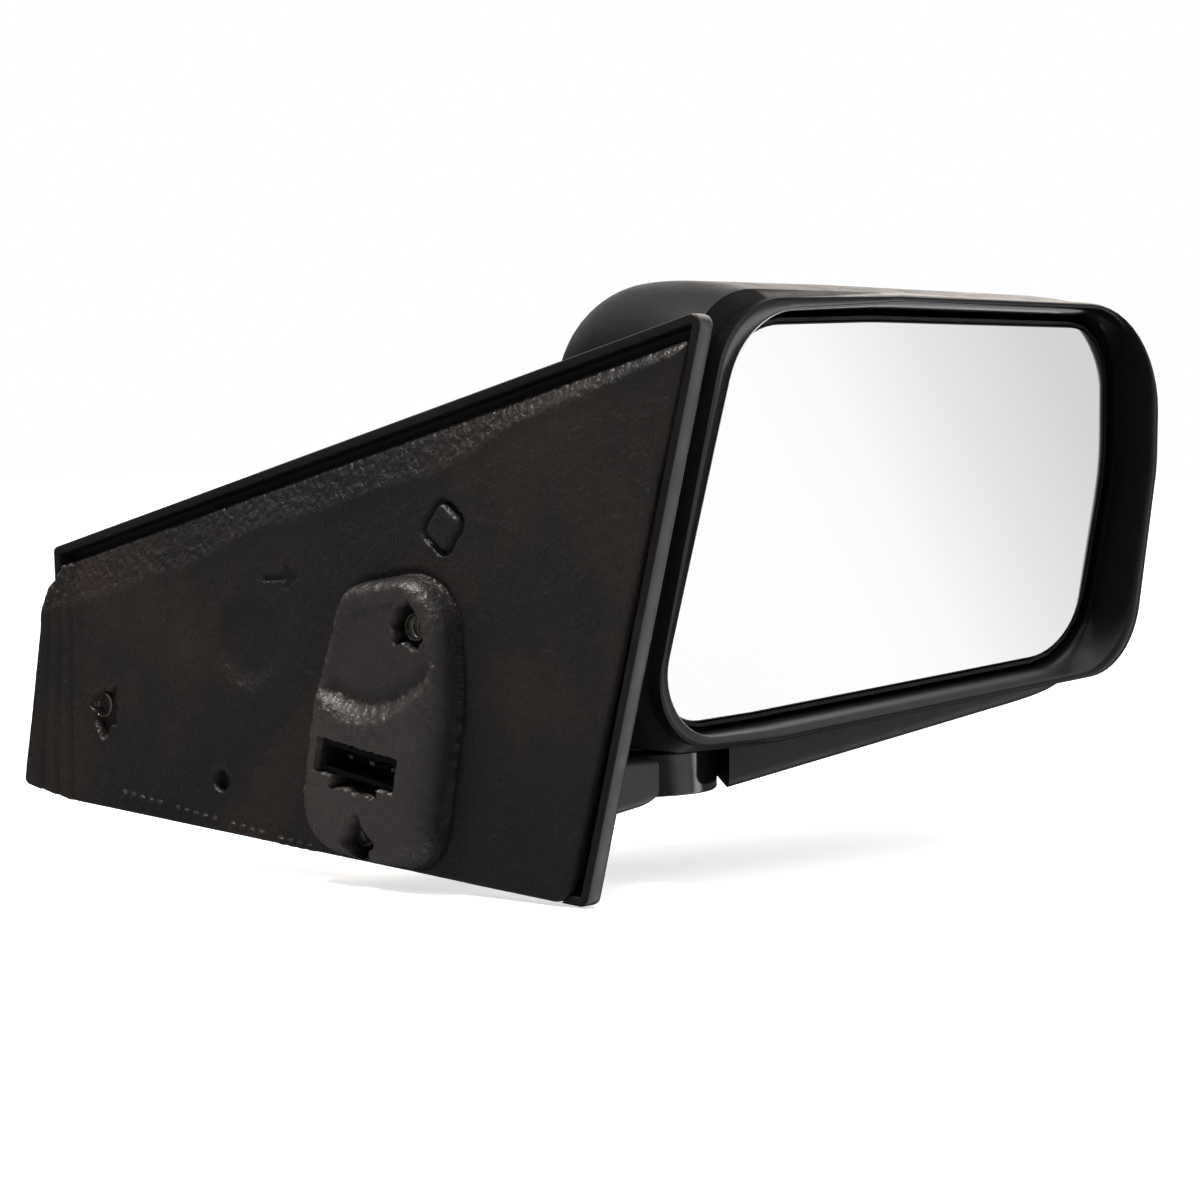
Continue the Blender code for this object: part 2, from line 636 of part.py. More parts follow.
def connector(look, pin_look):
    def ring(grow, x):
        return across_x(socket_outline(grow), x)

    tilt = (SOCKET_TILT, 0, 0)
    housing = place("connector_housing", loft([
        ring(-SOCKET_WALL, SOCKET_FLOOR_X), ring(-SOCKET_WALL, SOCKET_FRONT_X),
        ring(0.0, SOCKET_FRONT_X), ring(0.0, SOCKET_BACK_X)]), look, None, (0, *SOCKET_PLACE), tilt)
    wide, thick = TERMINAL_SIZE
    for i in range(TERMINAL_COUNT):
        shift = (i - (TERMINAL_COUNT - 1) / 2) * TERMINAL_PITCH
        spot = (0, SOCKET_PLACE[0] + shift * math.cos(SOCKET_TILT),
                SOCKET_PLACE[1] + shift * math.sin(SOCKET_TILT))
        room = box((SOCKET_FLOOR_X - OVER, -wide / 2 - GAP, -thick / 2 - GAP),
                   (SOCKET_BACK_X + OVER, wide / 2 + GAP, thick / 2 + GAP))
        cut(housing, place(f"cut_terminal_{i + 1}", room, None, None, spot, tilt))
        blade = box((TERMINAL_TIP_X, -wide / 2, -thick / 2), (SOCKET_BACK_X, wide / 2, thick / 2))
        place(f"connector_terminal_{i + 1}", blade, pin_look, None, spot, tilt)


def cover_screws(look):
    length = COVER_TOP_X - COVER_WALL - BRACKET_X - OVER
    for i, (y, z) in enumerate(COVER_SCREWS):
        screw(f"cover_screw_{i + 1}", look, None, (BRACKET_X - GAP, y, z), FACE_OUT, length)


def pivot_column(look, head):
    inner = COLUMN_RADIUS - COLUMN_WALL
    floor = ARM_BOTTOM - GAP
    roof = ARM_TOP + GAP
    profile = ((inner, floor), (inner, roof), (COLUMN_MOUTH, roof), (COLUMN_MOUTH, NECK_TOP),
               (COLUMN_RADIUS - EDGE, NECK_TOP), (COLUMN_RADIUS, NECK_TOP - EDGE),
               (COLUMN_RADIUS, floor - COLUMN_FLOOR + EDGE),
               (COLUMN_RADIUS - EDGE, floor - COLUMN_FLOOR))
    column = place("pivot_column", turned(profile, steps=32), look, head)
    gate = box((-0.03, -ARM_HALF - GAP, floor + TIGHT), (-0.005, ARM_HALF + GAP, roof - TIGHT))
    cut(column, place("cut_column_gate", gate, None, head))


def pivot_post(look, head):
    post = place("pivot_post", tube(POST_RADIUS, POST_BORE, POST_BOTTOM, POST_TOP), look, head)
    width, depth = ARM_GROOVE
    window = box((-PAST, -width / 2, ARM_TOP - depth), (0.0, width / 2, ARM_TOP + 0.0022))
    cut(post, place("cut_post_window", window, None, head))


def detent_bumps(name, head, low, high, grow):
    middle = (POST_RADIUS + RUN + DETENT_RADIUS) / 2
    for i in range(DETENT_COUNT):
        angle = 2 * math.pi * i / DETENT_COUNT
        bump = turned(((0.0014 + grow, low), (0.0014 + grow, high)), steps=10)
        spot = (middle * math.cos(angle), middle * math.sin(angle), 0)
        yield place(f"{name}_{i + 1}", bump, None, head, spot)


def detents(ring_look, cup_look, head):
    low = NECK_TOP + GAP
    bore = POST_RADIUS + RUN
    ring = place("detent_ring", tube(DETENT_RADIUS, bore, low, low + DETENT_THICK), ring_look, head)
    top = low + DETENT_THICK
    add(ring, *detent_bumps("cut_bump", head, top - 0.0005, top + DETENT_BUMP, 0.0))
    cup = place("detent_cup", tube(DETENT_RADIUS, bore, HEAD_REST, HEAD_REST + DETENT_THICK),
                cup_look, head)
    cut(cup, *detent_bumps("cut_pocket", head, HEAD_REST - OVER, HEAD_REST + DETENT_BUMP, 0.0003))


def pivot_stack(spring_look, steel_look, head):
    floor = HEAD_REST + DETENT_THICK + GAP + HUB_FLOOR
    low, high = floor + GAP + SPRING_WIRE, SPRING_TOP - SPRING_WIRE
    rings = []
    steps = SPRING_TURNS * SPRING_STEPS
    for i in range(steps + 1):
        angle = 2 * math.pi * SPRING_TURNS * i / steps
        rise = low + (high - low) * i / steps
        rings.append([((SPRING_RADIUS + u) * math.cos(angle), (SPRING_RADIUS + u) * math.sin(angle),
                       rise + v) for u, v in circle(SPRING_WIRE, 6)])
    place("pivot_spring", loft(rings), spring_look, head)
    bore = POST_RADIUS + RUN
    low = SPRING_TOP + GAP
    place("spring_washer", tube(RETAINER_RADIUS, bore, low, low + WASHER_THICK), steel_look, head)
    low = low + WASHER_THICK + GAP
    nut = place("pivot_retainer", loft([
        across_z(circle(RETAINER_RADIUS, 6), low),
        across_z(circle(RETAINER_RADIUS, 6), low + RETAINER_THICK)]), steel_look, head)
    hole = turned(((bore, low - PAST), (bore, low + RETAINER_THICK + PAST)))
    cut(nut, place("cut_retainer_bore", hole, None, head))


# ---- Head pieces ---------------------------------------------------------------------
def shell_corners(y, wall):
    """The housing's outline at depth y, pulled in by a wall thickness."""
    bulge = math.sin(math.pi * min(max((y - SEAM_Y) / (SHELL_ROUND_Y + 0.02 - SEAM_Y), 0), 1))
    share = min(max((y - SHELL_ROUND_Y) / (SHELL_NOSE_Y - SHELL_ROUND_Y), 0.0), 0.985)
    close = 1 - math.sqrt(1 - share * share)
    moves = [wall + c * close - b * bulge for c, b in zip(SHELL_CLOSE, SHELL_BULGE)]
    return inset(LIP_CORNERS, tuple(moves), 0.5)


def shell_body(wall, rear):
    """A closed solid of the housing's outer form, or of its hollow."""
    depth = SHELL_NOSE_Y - wall
    stations = [rear, SEAM_Y + 0.008, SEAM_Y + 0.020, SHELL_ROUND_Y]
    span = depth - SHELL_ROUND_Y
    stations += [SHELL_ROUND_Y + span * s for s in (0.32, 0.60, 0.82, 0.94, 0.985)]
    rings = []
    for y in stations:
        corners = shell_corners(max(y, SEAM_Y) if y < SHELL_ROUND_Y
                                else SHELL_ROUND_Y + (y - SHELL_ROUND_Y)
                                * (SHELL_NOSE_Y - SHELL_ROUND_Y) / span, wall)
        rings.append(across_y(rounded(corners), y))
    last = rounded(corners)
    middle = [(PIVOT[0], PIVOT[2])] * len(last)
    for share, rise in ((0.30, 0.7), (0.65, 1.0)):
        rings.append(across_y(blended(last, middle, share), depth + SHELL_CROWN * rise))
    return loft(rings)


def wedge_body(wall):
    rings = []
    for x, low, rear, front in WEDGE_STATIONS:
        outline = rectangle(front - rear - 2 * wall, WEDGE_TOP - low - 2 * wall,
                            WEDGE_ROUND - wall / 2,
                            ((front + rear) / 2, (WEDGE_TOP + low) / 2))
        rings.append(across_x(rounded(outline, 3), x + (-wall if x > 0.13 else 0.0)))
    return loft(rings)


def fold_notch(grow, low, high):
    """The room that the neck sweeps under the head, seen in plan."""
    reach = NECK_HALF + FOLD_CLEAR + grow
    first, last = -(math.pi / 2 - FOLD_REAR), math.pi / 2 - FOLD_FRONT
    points = []
    for i in range(9):
        angle = first + (last - first) * i / 8
        points.append((reach * math.cos(angle), reach * math.sin(angle)))
    far = 0.07
    front, rear = points[-1], points[0]
    points.append((front[0] - far * math.sin(last), front[1] + far * math.cos(last)))
    points.append((-far, far))
    points.append((-far, -far))
    points.append((rear[0] + far * math.sin(first), rear[1] - far * math.cos(first)))
    return loft([across_z(points, low), across_z(points, high)])


def mirror_shell(look, head):
    shell = place("mirror_shell", shell_body(0.0, SEAM_Y), look, head)
    add(shell, place("cut_wedge_outer", wedge_body(0.0), None, head))
    cut(shell, place("cut_notch", fold_notch(0.0, -0.04, LOW_CUT), None, head))
    hollow = place("cut_shell_hollow", shell_body(SHELL_WALL, SEAM_Y - 0.004), None, head)
    add(hollow, place("cut_wedge_inner", wedge_body(SHELL_WALL), None, head))
    cut(hollow, place("cut_notch_inner", fold_notch(SHELL_WALL, -0.04, LOW_CUT + SHELL_WALL),
                      None, head))
    cut(shell, hollow)
    hole = turned(((DETENT_RADIUS + EDGE, -0.012), (DETENT_RADIUS + EDGE, 0.0)))
    cut(shell, place("cut_pivot_hole", hole, None, head))
    for i, (x, z) in enumerate(SHELL_SCREWS):
        low = CARRIER_Y + CARRIER_THICK + GAP
        post = turned(((SCREW_POST, low), (SCREW_POST, SHELL_NOSE_Y - 0.0008)), steps=12)
        add(shell, place(f"cut_shell_post_{i + 1}", post, None, head, (x, 0, z), INTO_HEAD))
    for i, (x, z) in enumerate(SHELL_SCREWS):
        pilot = turned(((SCREW_RADIUS + GAP, 0.0), (SCREW_RADIUS + GAP, CARRIER_Y + 0.0115)), steps=12)
        cut(shell, place(f"cut_shell_pilot_{i + 1}", pilot, None, head, (x, 0, z), INTO_HEAD))


def bezel(look, head):
    lip = rounded(LIP_CORNERS)
    margin = HOLDER_RIM + GAP + TUNNEL_MARGIN
    tunnel = rounded(inset(GLASS_CORNERS, -margin))
    lining = rounded(inset(GLASS_CORNERS, -margin - BEZEL_WALL))
    back = rounded(inset(LIP_CORNERS, BEZEL_WALL))
    seam = SEAM_Y - GAP
    rings = (
        across_y(lip, seam),
        across_y(blended(lip, tunnel, 0.03), LIP_Y + 0.0026),
        across_y(blended(lip, tunnel, 0.14), LIP_Y + 0.0008),
        across_y(blended(lip, tunnel, 0.34), LIP_Y),
        across_y(blended(lip, tunnel, 0.60), LIP_Y + 0.0008),
        across_y(blended(lip, tunnel, 0.86), LIP_Y + 0.0034),
        across_y(tunnel, LIP_Y + 0.0075),
        across_y(tunnel, TUNNEL_END_Y),
        across_y(lining, TUNNEL_END_Y),
        across_y(lining, LIP_Y + 0.0090),
        across_y(blended(back, lining, 0.45), LIP_Y + 0.0045),
        across_y(back, seam),
    )
    place("bezel", loft(rings, True), look, head)


def head_frame(look, head):
    low = HEAD_REST + DETENT_THICK + GAP
    floor = low + HUB_FLOOR
    bore = POST_RADIUS + RUN
    inner = HUB_RADIUS - HUB_WALL
    profile = ((HUB_RADIUS, low), (HUB_RADIUS, HUB_TOP), (inner, HUB_TOP), (inner, floor),
               (bore, floor), (bore, low))
    frame = place("head_frame", turned(profile, True), look, head)
    far = CARRIER_Y + CARRIER_THICK
    plate = rounded(CARRIER_CORNERS)
    add(frame, place("cut_carrier", loft([across_y(plate, CARRIER_Y), across_y(plate, far)]),
                     None, head))
    web = box((-0.0070, inner + EDGE, low + 0.0005), (0.0080, CARRIER_Y + OVER, HUB_TOP - OVER))
    add(frame, place("cut_carrier_web", web, None, head))
    spots = list(SHELL_SCREWS) + [(PIVOT[0] + x, PIVOT[2] + z) for x, z in CASE_SCREWS]
    for i, (x, z) in enumerate(spots):
        hole = turned(((SCREW_RADIUS + GAP, CARRIER_Y - 0.002), (SCREW_RADIUS + GAP, far + 0.002)),
                      steps=12)
        cut(frame, place(f"cut_carrier_hole_{i + 1}", hole, None, head, (x, 0, z), INTO_HEAD))


def head_screws(look, head):
    for i, (x, z) in enumerate(SHELL_SCREWS):
        screw(f"shell_screw_{i + 1}", look, head, (x, CARRIER_Y - GAP, z), INTO_HEAD, 0.0100)
    far = CARRIER_Y + CARRIER_THICK + GAP
    for i, (x, z) in enumerate(CASE_SCREWS):
        spot = (PIVOT[0] + x, far, PIVOT[2] + z)
        screw(f"actuator_screw_{i + 1}", look, head, spot, (math.pi / 2, 0, 0), 0.0110)


def jack_places():
    return (("pan", PIVOT[0] + PAN_ARM, PIVOT[2]), ("tilt", PIVOT[0], PIVOT[2] + TILT_ARM))


def actuator_case(look, head):
    outline = rectangle(2 * CASE_HALF[0], 2 * CASE_HALF[1], CASE_ROUND, (PIVOT[0], PIVOT[2]))
    outer, inner = rounded(outline), rounded(inset(outline, CASE_WALL))
    front = place("actuator_case_front", loft([
        across_y(inner, CASE_FRONT_Y + CASE_WALL), across_y(inner, CASE_SPLIT_Y - GAP),
        across_y(outer, CASE_SPLIT_Y - GAP), across_y(outer, CASE_FRONT_Y)]), look, head)
    for i, side in enumerate((1, -1)):
        near, far = PIVOT[2] + side * EAR_NEAR, PIVOT[2] + side * EAR_FAR
        ear = box((PIVOT[0] - EAR_HALF, PIVOT[1] - 0.0020, min(near, far)),
                  (PIVOT[0] + EAR_HALF, CASE_FRONT_Y + TIGHT, max(near, far)))
        add(front, place(f"cut_pan_ear_{i + 1}", ear, None, head))
        hole = turned(((PIN_RADIUS + GAP, min(near, far) - OVER),
                       (PIN_RADIUS + GAP, max(near, far) + OVER)), steps=12)
        cut(front, place(f"cut_pan_hole_{i + 1}", hole, None, head, (PIVOT[0], PIVOT[1], 0)))
    for name, x, z in jack_places():
        mouth = turned(((JACK_HOLE, CASE_FRONT_Y - OVER), (JACK_HOLE, CASE_FRONT_Y + 0.004)), steps=20)
        cut(front, place(f"cut_mouth_{name}", mouth, None, head, (x, 0, z), INTO_HEAD))
    back = place("actuator_case_back", loft([
        across_y(inner, CASE_BACK_Y - CASE_WALL), across_y(inner, CASE_SPLIT_Y),
        across_y(outer, CASE_SPLIT_Y), across_y(outer, CASE_BACK_Y)]), look, head)
    for i, (x, z) in enumerate(CASE_SCREWS):
        spot = (PIVOT[0] + x, 0, PIVOT[2] + z)
        post = turned(((SCREW_POST, CASE_SPLIT_Y + OVER), (SCREW_POST, CASE_BACK_Y - TIGHT)), steps=12)
        add(back, place(f"cut_case_post_{i + 1}", post, None, head, spot, INTO_HEAD))
    for i, (x, z) in enumerate(CASE_SCREWS):
        spot = (PIVOT[0] + x, 0, PIVOT[2] + z)
        pilot = turned(((SCREW_RADIUS + GAP, CASE_BACK_Y - 0.0095),
                        (SCREW_RADIUS + GAP, CASE_BACK_Y + OVER)), steps=12)
        cut(back, place(f"cut_case_pilot_{i + 1}", pilot, None, head, spot, INTO_HEAD))
    gate = box((PIVOT[0] - CASE_HALF[0] - OVER, PLUG_Y - 0.0024, PIVOT[2] - 0.0024),
               (PIVOT[0] - CASE_HALF[0] + 0.004, PLUG_Y + 0.0024, PIVOT[2] + 0.0024))
    cut(back, place("cut_plug_gate", gate, None, head))


def drive(looks, head):
    """Motor, worm, nut gear and jack screw for each of the two glass motions."""
    mesh_gap = GEAR_TIP + WORM_CORE + WORM_LOBE + GAP
    gear_middle = GEAR_Y + GEAR_THICK / 2
    runs = {
        "pan": ((PIVOT[0] + PAN_ARM, gear_middle, PIVOT[2] - mesh_gap), (0, math.pi / 2, 0)),
        "tilt": ((PIVOT[0] - mesh_gap, gear_middle, PIVOT[2] + TILT_ARM), (0, 0, 0)),
    }
    for name, x, z in jack_places():
        axis = empty(f"{name}_jack_axis", head, (x, 0, z))
        gear = place(f"{name}_jack_gear", loft([
            across_z(gear_outline(GEAR_TEETH, GEAR_ROOT, GEAR_TIP), GEAR_Y),
            across_z(gear_outline(GEAR_TEETH, GEAR_ROOT, GEAR_TIP), GEAR_Y + GEAR_THICK)]),
            looks["nylon"], axis, (0, 0, 0), INTO_HEAD)
        bore = turned(((JACK_RADIUS + RUN, GEAR_Y - OVER), (JACK_RADIUS + RUN, GEAR_Y + 0.007)))
        cut(gear, place(f"cut_{name}_gear_bore", bore, None, axis, (0, 0, 0), INTO_HEAD))
        ball = [(BALL_RADIUS * math.sin(a), PIVOT[1] - BALL_RADIUS * math.cos(a))
                for a in (math.radians(d) for d in (15, 42, 68, 94, 120))]
        neck = BALL_RADIUS * 0.62
        shank = [(neck, PIVOT[1] + BALL_RADIUS * 0.86), (neck, JACK_NECK_Y - EDGE),
                 (JACK_RADIUS, JACK_NECK_Y), (JACK_RADIUS, JACK_END_Y)]
        place(f"{name}_jack_screw", turned(ball + shank, steps=12), looks["acetal"], axis,
              (0, 0, 0), INTO_HEAD)
        spot, turn = runs[name]
        worm_axis = empty(f"{name}_worm_axis", head, spot)
        rings = []
        steps = WORM_STEPS
        for i in range(steps + 1):
            rise = WORM_LENGTH * (i / steps - 0.5)
            angle = 2 * math.pi * rise / WORM_PITCH
            rings.append([(u + WORM_LOBE * math.cos(angle), v + WORM_LOBE * math.sin(angle), rise)
                          for u, v in circle(WORM_CORE, 6)])
        place(f"{name}_worm", loft(rings), looks["brass"], worm_axis, (0, 0, 0), turn)
        start = -WORM_LENGTH / 2 - GAP
        can = ((0.0030, start), (0.0030, start - 0.0015), (MOTOR_RADIUS - EDGE, start - 0.0015),
               (MOTOR_RADIUS, start - 0.0021), (MOTOR_RADIUS, start - MOTOR_LENGTH))
        place(f"{name}_motor", turned(can, steps=16), looks["steel"], worm_axis, (0, 0, 0), turn)


def gimbal(look, pin_look, head):
    centre = empty("glass_pivot", head, PIVOT)
    half = GIMBAL_THICK / 2
    ring = place("gimbal_ring", tube(GIMBAL_OUTER, GIMBAL_INNER, -half, half, 24), look, centre,
                 (0, 0, 0), INTO_HEAD)
    for i in range(4):
        angle = i * math.pi / 2
        turn = (0, math.pi / 2 - angle, 0)
        bore = turned(((PIN_RADIUS + RUN, GIMBAL_INNER - OVER), (PIN_RADIUS + RUN, GIMBAL_OUTER + OVER)),
                      steps=12)
        cut(ring, place(f"cut_gimbal_bore_{i + 1}", bore, None, centre, (0, 0, 0), turn))
        pin = turned(((PIN_RADIUS, GIMBAL_INNER + 0.0004), (PIN_RADIUS, EAR_FAR)), steps=8)
        name = ("tilt_pin_outer", "pan_pin_upper", "tilt_pin_inner", "pan_pin_lower")[i]
        place(name, pin, pin_look, centre, (0, 0, 0), turn)
    return centre


def glass_stack(looks, centre):
    def shifted(corners):
        return tuple((x - PIVOT[0], z - PIVOT[2], r) for x, z, r in corners)

    def ring(grow, y):
        return across_y(rounded(inset(shifted(GLASS_CORNERS), -grow)), y - PIVOT[1])

    back = GLASS_Y + GLASS_THICK
    place("mirror_glass", loft([
        ring(-0.0006, GLASS_Y), ring(0.0, GLASS_Y + 0.0005), ring(0.0, back)]), looks["mirror"], centre)
    pad = back + GAP
    place("adhesive_pad", loft([ring(-0.0050, pad), ring(-0.0050, pad + PAD_THICK)]),
          looks["pad"], centre)
    floor = pad + PAD_THICK + GAP
    rear = floor + HOLDER_FLOOR
    rim = GAP + HOLDER_RIM
    holder = place("glass_holder", loft([
        ring(GAP, floor), ring(GAP, GLASS_Y + HOLDER_REACH), ring(rim, GLASS_Y + HOLDER_REACH),
        ring(rim, rear - 0.0010), ring(rim - 0.0010, rear)]), looks["black"], centre)
    depth = rear - PIVOT[1]
    for i, side in enumerate((1, -1)):
        near, far = side * EAR_NEAR, side * EAR_FAR
        ear = box((min(near, far), depth - TIGHT, -EAR_HALF), (max(near, far), 0.0022, EAR_HALF))
        add(holder, place(f"cut_tilt_ear_{i + 1}", ear, None, centre))
        hole = turned(((PIN_RADIUS + GAP, min(near, far) - OVER),
                       (PIN_RADIUS + GAP, max(near, far) + OVER)), steps=12)
        cut(holder, place(f"cut_tilt_hole_{i + 1}", hole, None, centre, (0, 0, 0), (0, math.pi / 2, 0)))
    inner = BALL_RADIUS + BALL_ROOM
    for name, x, z in jack_places():
        cup = tube(inner + SOCKET_RING, inner, depth - TIGHT, depth + SOCKET_DEEP, 20)
        spot = (x - PIVOT[0], 0, z - PIVOT[2])
        add(holder, place(f"cut_socket_{name}", cup, None, centre, spot, INTO_HEAD))


def main():
    for old in list(bpy.data.objects):
        bpy.data.objects.remove(old, do_unlink=True)
    looks = {
        "cover": material("cover_plastic", (0.020, 0.020, 0.021), 0.42),
        "foam": material("gasket_foam", (0.026, 0.021, 0.020), 0.62),
        "cast": material("cast_zinc", (0.42, 0.42, 0.43), 0.50, 1.0),
        "steel": material("plated_steel", (0.62, 0.62, 0.60), 0.30, 1.0),
        "spring": material("spring_steel", (0.30, 0.30, 0.31), 0.35, 1.0),
        "brass": material("brass", (0.72, 0.52, 0.22), 0.32, 1.0),
        "gloss": material("gloss_black", (0.010, 0.010, 0.011), 0.12),
        "shell": material("shell_plastic", (0.018, 0.018, 0.018), 0.46),
        "lip": material("lip_plastic", (0.016, 0.017, 0.019), 0.30),
        "black": material("inner_black", (0.015, 0.015, 0.016), 0.50),
        "grey": material("frame_plastic", (0.080, 0.080, 0.085), 0.55),
        "nylon": material("natural_nylon", (0.70, 0.68, 0.60), 0.45),
        "acetal": material("white_acetal", (0.78, 0.78, 0.75), 0.35),
        "pad": material("adhesive_foam", (0.030, 0.030, 0.030), 0.90),
        "mirror": material("mirror_glass", (0.90, 0.91, 0.92), 0.02, 1.0),
        "wire": material("wire_sleeve", (0.020, 0.020, 0.022), 0.60),
    }
    head = empty("fold_axis", None, (*FOLD_AXIS, 0.0), HEAD_YAW)
    sail_cover(looks["cover"], head)
    foam_gasket(looks["foam"])
    base_bracket(looks["cast"], head)
    threaded_inserts(looks["steel"])
    connector(looks["black"], looks["steel"])
    cover_screws(looks["steel"])
    pivot_column(looks["gloss"], head)
    pivot_post(looks["steel"], head)
    detents(looks["steel"], looks["grey"], head)
    pivot_stack(looks["spring"], looks["steel"], head)
    mirror_shell(looks["shell"], head)
    bezel(looks["lip"], head)
    head_frame(looks["grey"], head)
    head_screws(looks["steel"], head)
    actuator_case(looks["black"], head)
    drive(looks, head)
    centre = gimbal(looks["grey"], looks["steel"], head)
    glass_stack(looks, centre)
    case_side = PIVOT[0] - CASE_HALF[0] - GAP
    plug = box((case_side - PLUG_SIZE[0], PLUG_Y - PLUG_SIZE[1] / 2, PIVOT[2] - PLUG_SIZE[2] / 2),
               (case_side, PLUG_Y + PLUG_SIZE[1] / 2, PIVOT[2] + PLUG_SIZE[2] / 2))
    place("actuator_plug", plug, looks["grey"], head)
    turn = math.cos(HEAD_YAW), math.sin(HEAD_YAW)
    neck_points = [(FOLD_AXIS[0] + x * turn[0], FOLD_AXIS[1] + x * turn[1], z)
                   for x, z in ((-0.032, -0.0106), (-0.010, -0.0106), (-0.0030, -0.0096),
                                (-0.0004, -0.0060), (0.0, 0.0), (0.0, WIRE_JOIN_Z))]
    wire("base_harness", list(BASE_ROUTE) + neck_points, looks["wire"])
    plug_end = (case_side - PLUG_SIZE[0] - WIRE_STOP, PLUG_Y, PIVOT[2])
    wire("head_harness", [(0, 0, WIRE_JOIN_Z + GAP), (0, 0, 0.030), *HEAD_ROUTE, plug_end],
         looks["wire"], head)


main()
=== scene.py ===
"""Studio picture of a right-hand car door mirror.

Everything is in metres in the CAD model's frame: +X outboard, +Y towards the nose
of the car, +Z up, with the gasket's face on x = 0. The head's pieces are built in
the head's own frame, whose origin is on the fold axis, and turned by HEAD_YAW.
"""
import math

import bmesh
import bpy
import numpy as np
from mathutils import Matrix, Vector


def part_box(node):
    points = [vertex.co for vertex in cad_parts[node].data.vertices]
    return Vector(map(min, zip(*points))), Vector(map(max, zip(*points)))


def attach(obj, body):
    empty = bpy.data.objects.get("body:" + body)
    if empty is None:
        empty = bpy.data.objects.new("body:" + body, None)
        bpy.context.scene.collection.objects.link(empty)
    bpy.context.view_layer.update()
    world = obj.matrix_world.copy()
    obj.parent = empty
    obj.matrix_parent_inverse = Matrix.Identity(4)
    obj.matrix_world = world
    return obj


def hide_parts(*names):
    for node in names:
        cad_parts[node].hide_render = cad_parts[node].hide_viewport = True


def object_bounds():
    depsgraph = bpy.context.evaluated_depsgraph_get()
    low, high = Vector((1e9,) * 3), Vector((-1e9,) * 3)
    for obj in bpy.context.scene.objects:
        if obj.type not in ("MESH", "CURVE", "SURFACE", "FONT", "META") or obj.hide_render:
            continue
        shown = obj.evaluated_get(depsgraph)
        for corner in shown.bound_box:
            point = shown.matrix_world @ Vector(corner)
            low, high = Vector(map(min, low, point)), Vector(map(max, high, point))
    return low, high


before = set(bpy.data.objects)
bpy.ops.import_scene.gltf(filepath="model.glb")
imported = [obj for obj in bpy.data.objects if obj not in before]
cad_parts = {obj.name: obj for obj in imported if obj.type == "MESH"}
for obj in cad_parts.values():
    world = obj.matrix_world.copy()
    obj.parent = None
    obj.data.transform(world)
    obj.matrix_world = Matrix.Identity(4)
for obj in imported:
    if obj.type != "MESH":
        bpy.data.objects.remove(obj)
cad_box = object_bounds()

# ---- Sizes shared with the CAD model -------------------------------------------
FOLD_AXIS = (0.0627, -0.0540)
HEAD_YAW = math.radians(-9.0)
HEAD = Matrix.Translation((*FOLD_AXIS, 0.0)) @ Matrix.Rotation(HEAD_YAW, 4, "Z")
PIVOT = (0.0660, 0.0500)                    # the glass pivot's x and z

COVER_CORNERS = ((-0.0959, -0.0362, 0.0025), (0.0840, -0.0240, 0.0040),
                 (0.0876, 0.0415, 0.0015), (-0.1294, 0.0987, 0.0025))
FOAM_CORNERS = ((-0.0905, -0.0358, 0.0050), (0.0800, -0.0246, 0.0100), (0.0970, -0.0210, 0.0020),
                (0.0886, 0.0295, 0.0060), (0.0844, 0.0371, 0.0015), (-0.1256, 0.0925, 0.0015))
RIM_X, LOW_RIM_X, COVER_SIDE_X, COVER_TOP_X = 0.0010, 0.0032, 0.0060, 0.0152
COVER_SHOULDER, COVER_WALL, GROOVE = 0.0150, 0.0022, 0.0033
FOAM_BACK_X = 0.0050
BLOCK_CORNERS = ((-0.0520, -0.0318, 0.0120), (-0.0095, -0.0290, 0.0140), (-0.0155, 0.0080, 0.0600),
                 (-0.0245, 0.0350, 0.0090), (-0.0575, 0.0405, 0.0140), (-0.0585, 0.0080, 0.0600))
LUG_PLACE, LUG_TURN, LUG_SIZE = (-0.0529, 0.0497), math.radians(37.0), (0.0076, 0.0088)
BLOCK_X = -0.0090
SOCKET_PLACE, SOCKET_TILT, SOCKET_SIZE = (-0.0326, -0.0071), math.radians(9.0), (0.0250, 0.0074)
FIXINGS = ((0.0683, 0.0012), (-0.0486, 0.0262), (-0.0320, -0.0234))     # y and z

NECK_ROOT, NECK_END, NECK_HALF, NECK_TOP = -0.0536, 0.0010, 0.0240, -0.0060
NECK_BOTTOM, NECK_SLOPE, NECK_WALL, NECK_ROUND = -0.01715, 0.149, 0.0022, 0.0030
FOLD_REAR, FOLD_FRONT, FOLD_CLEAR = math.radians(56.0), math.radians(50.0), 0.0015

LIP_CORNERS = ((-0.0280, -0.0052, 0.0160), (0.0180, -0.0050, 0.0750), (0.1545, 0.0075, 0.0220),
               (0.1642, 0.0620, 0.0600), (0.1652, 0.1063, 0.0300), (0.0600, 0.1070, 0.1860),
               (-0.0025, 0.1065, 0.0220))
GLASS_CORNERS = ((-0.0183, 0.0004, 0.0130), (0.0180, 0.0025, 0.0900), (0.1380, 0.0128, 0.0240),
                 (0.1508, 0.0632, 0.0750), (0.1506, 0.1004, 0.0140), (0.0600, 0.1001, 0.2800),
                 (0.0114, 0.0981, 0.0220))
LIP_Y, SEAM_Y, GLASS_Y, GLASS_THICK = -0.0387, -0.0327, -0.0295, 0.0020
TUNNEL_END_Y, TUNNEL_MARGIN, BEZEL_WALL, GAP = -0.0250, 0.0015, 0.0009, 0.0003
HOLDER_RIM = 0.0009
SHELL_WALL, SHELL_ROUND_Y, SHELL_NOSE_Y, SHELL_CROWN = 0.0018, 0.0015, 0.0335, 0.0020
SHELL_CLOSE = (0.0180, 0.0180, 0.0280, 0.0280, 0.0240, 0.0240, 0.0270)
SHELL_BULGE = (0.0000, 0.0000, 0.0015, 0.0015, 0.0029, 0.0029, 0.0025)
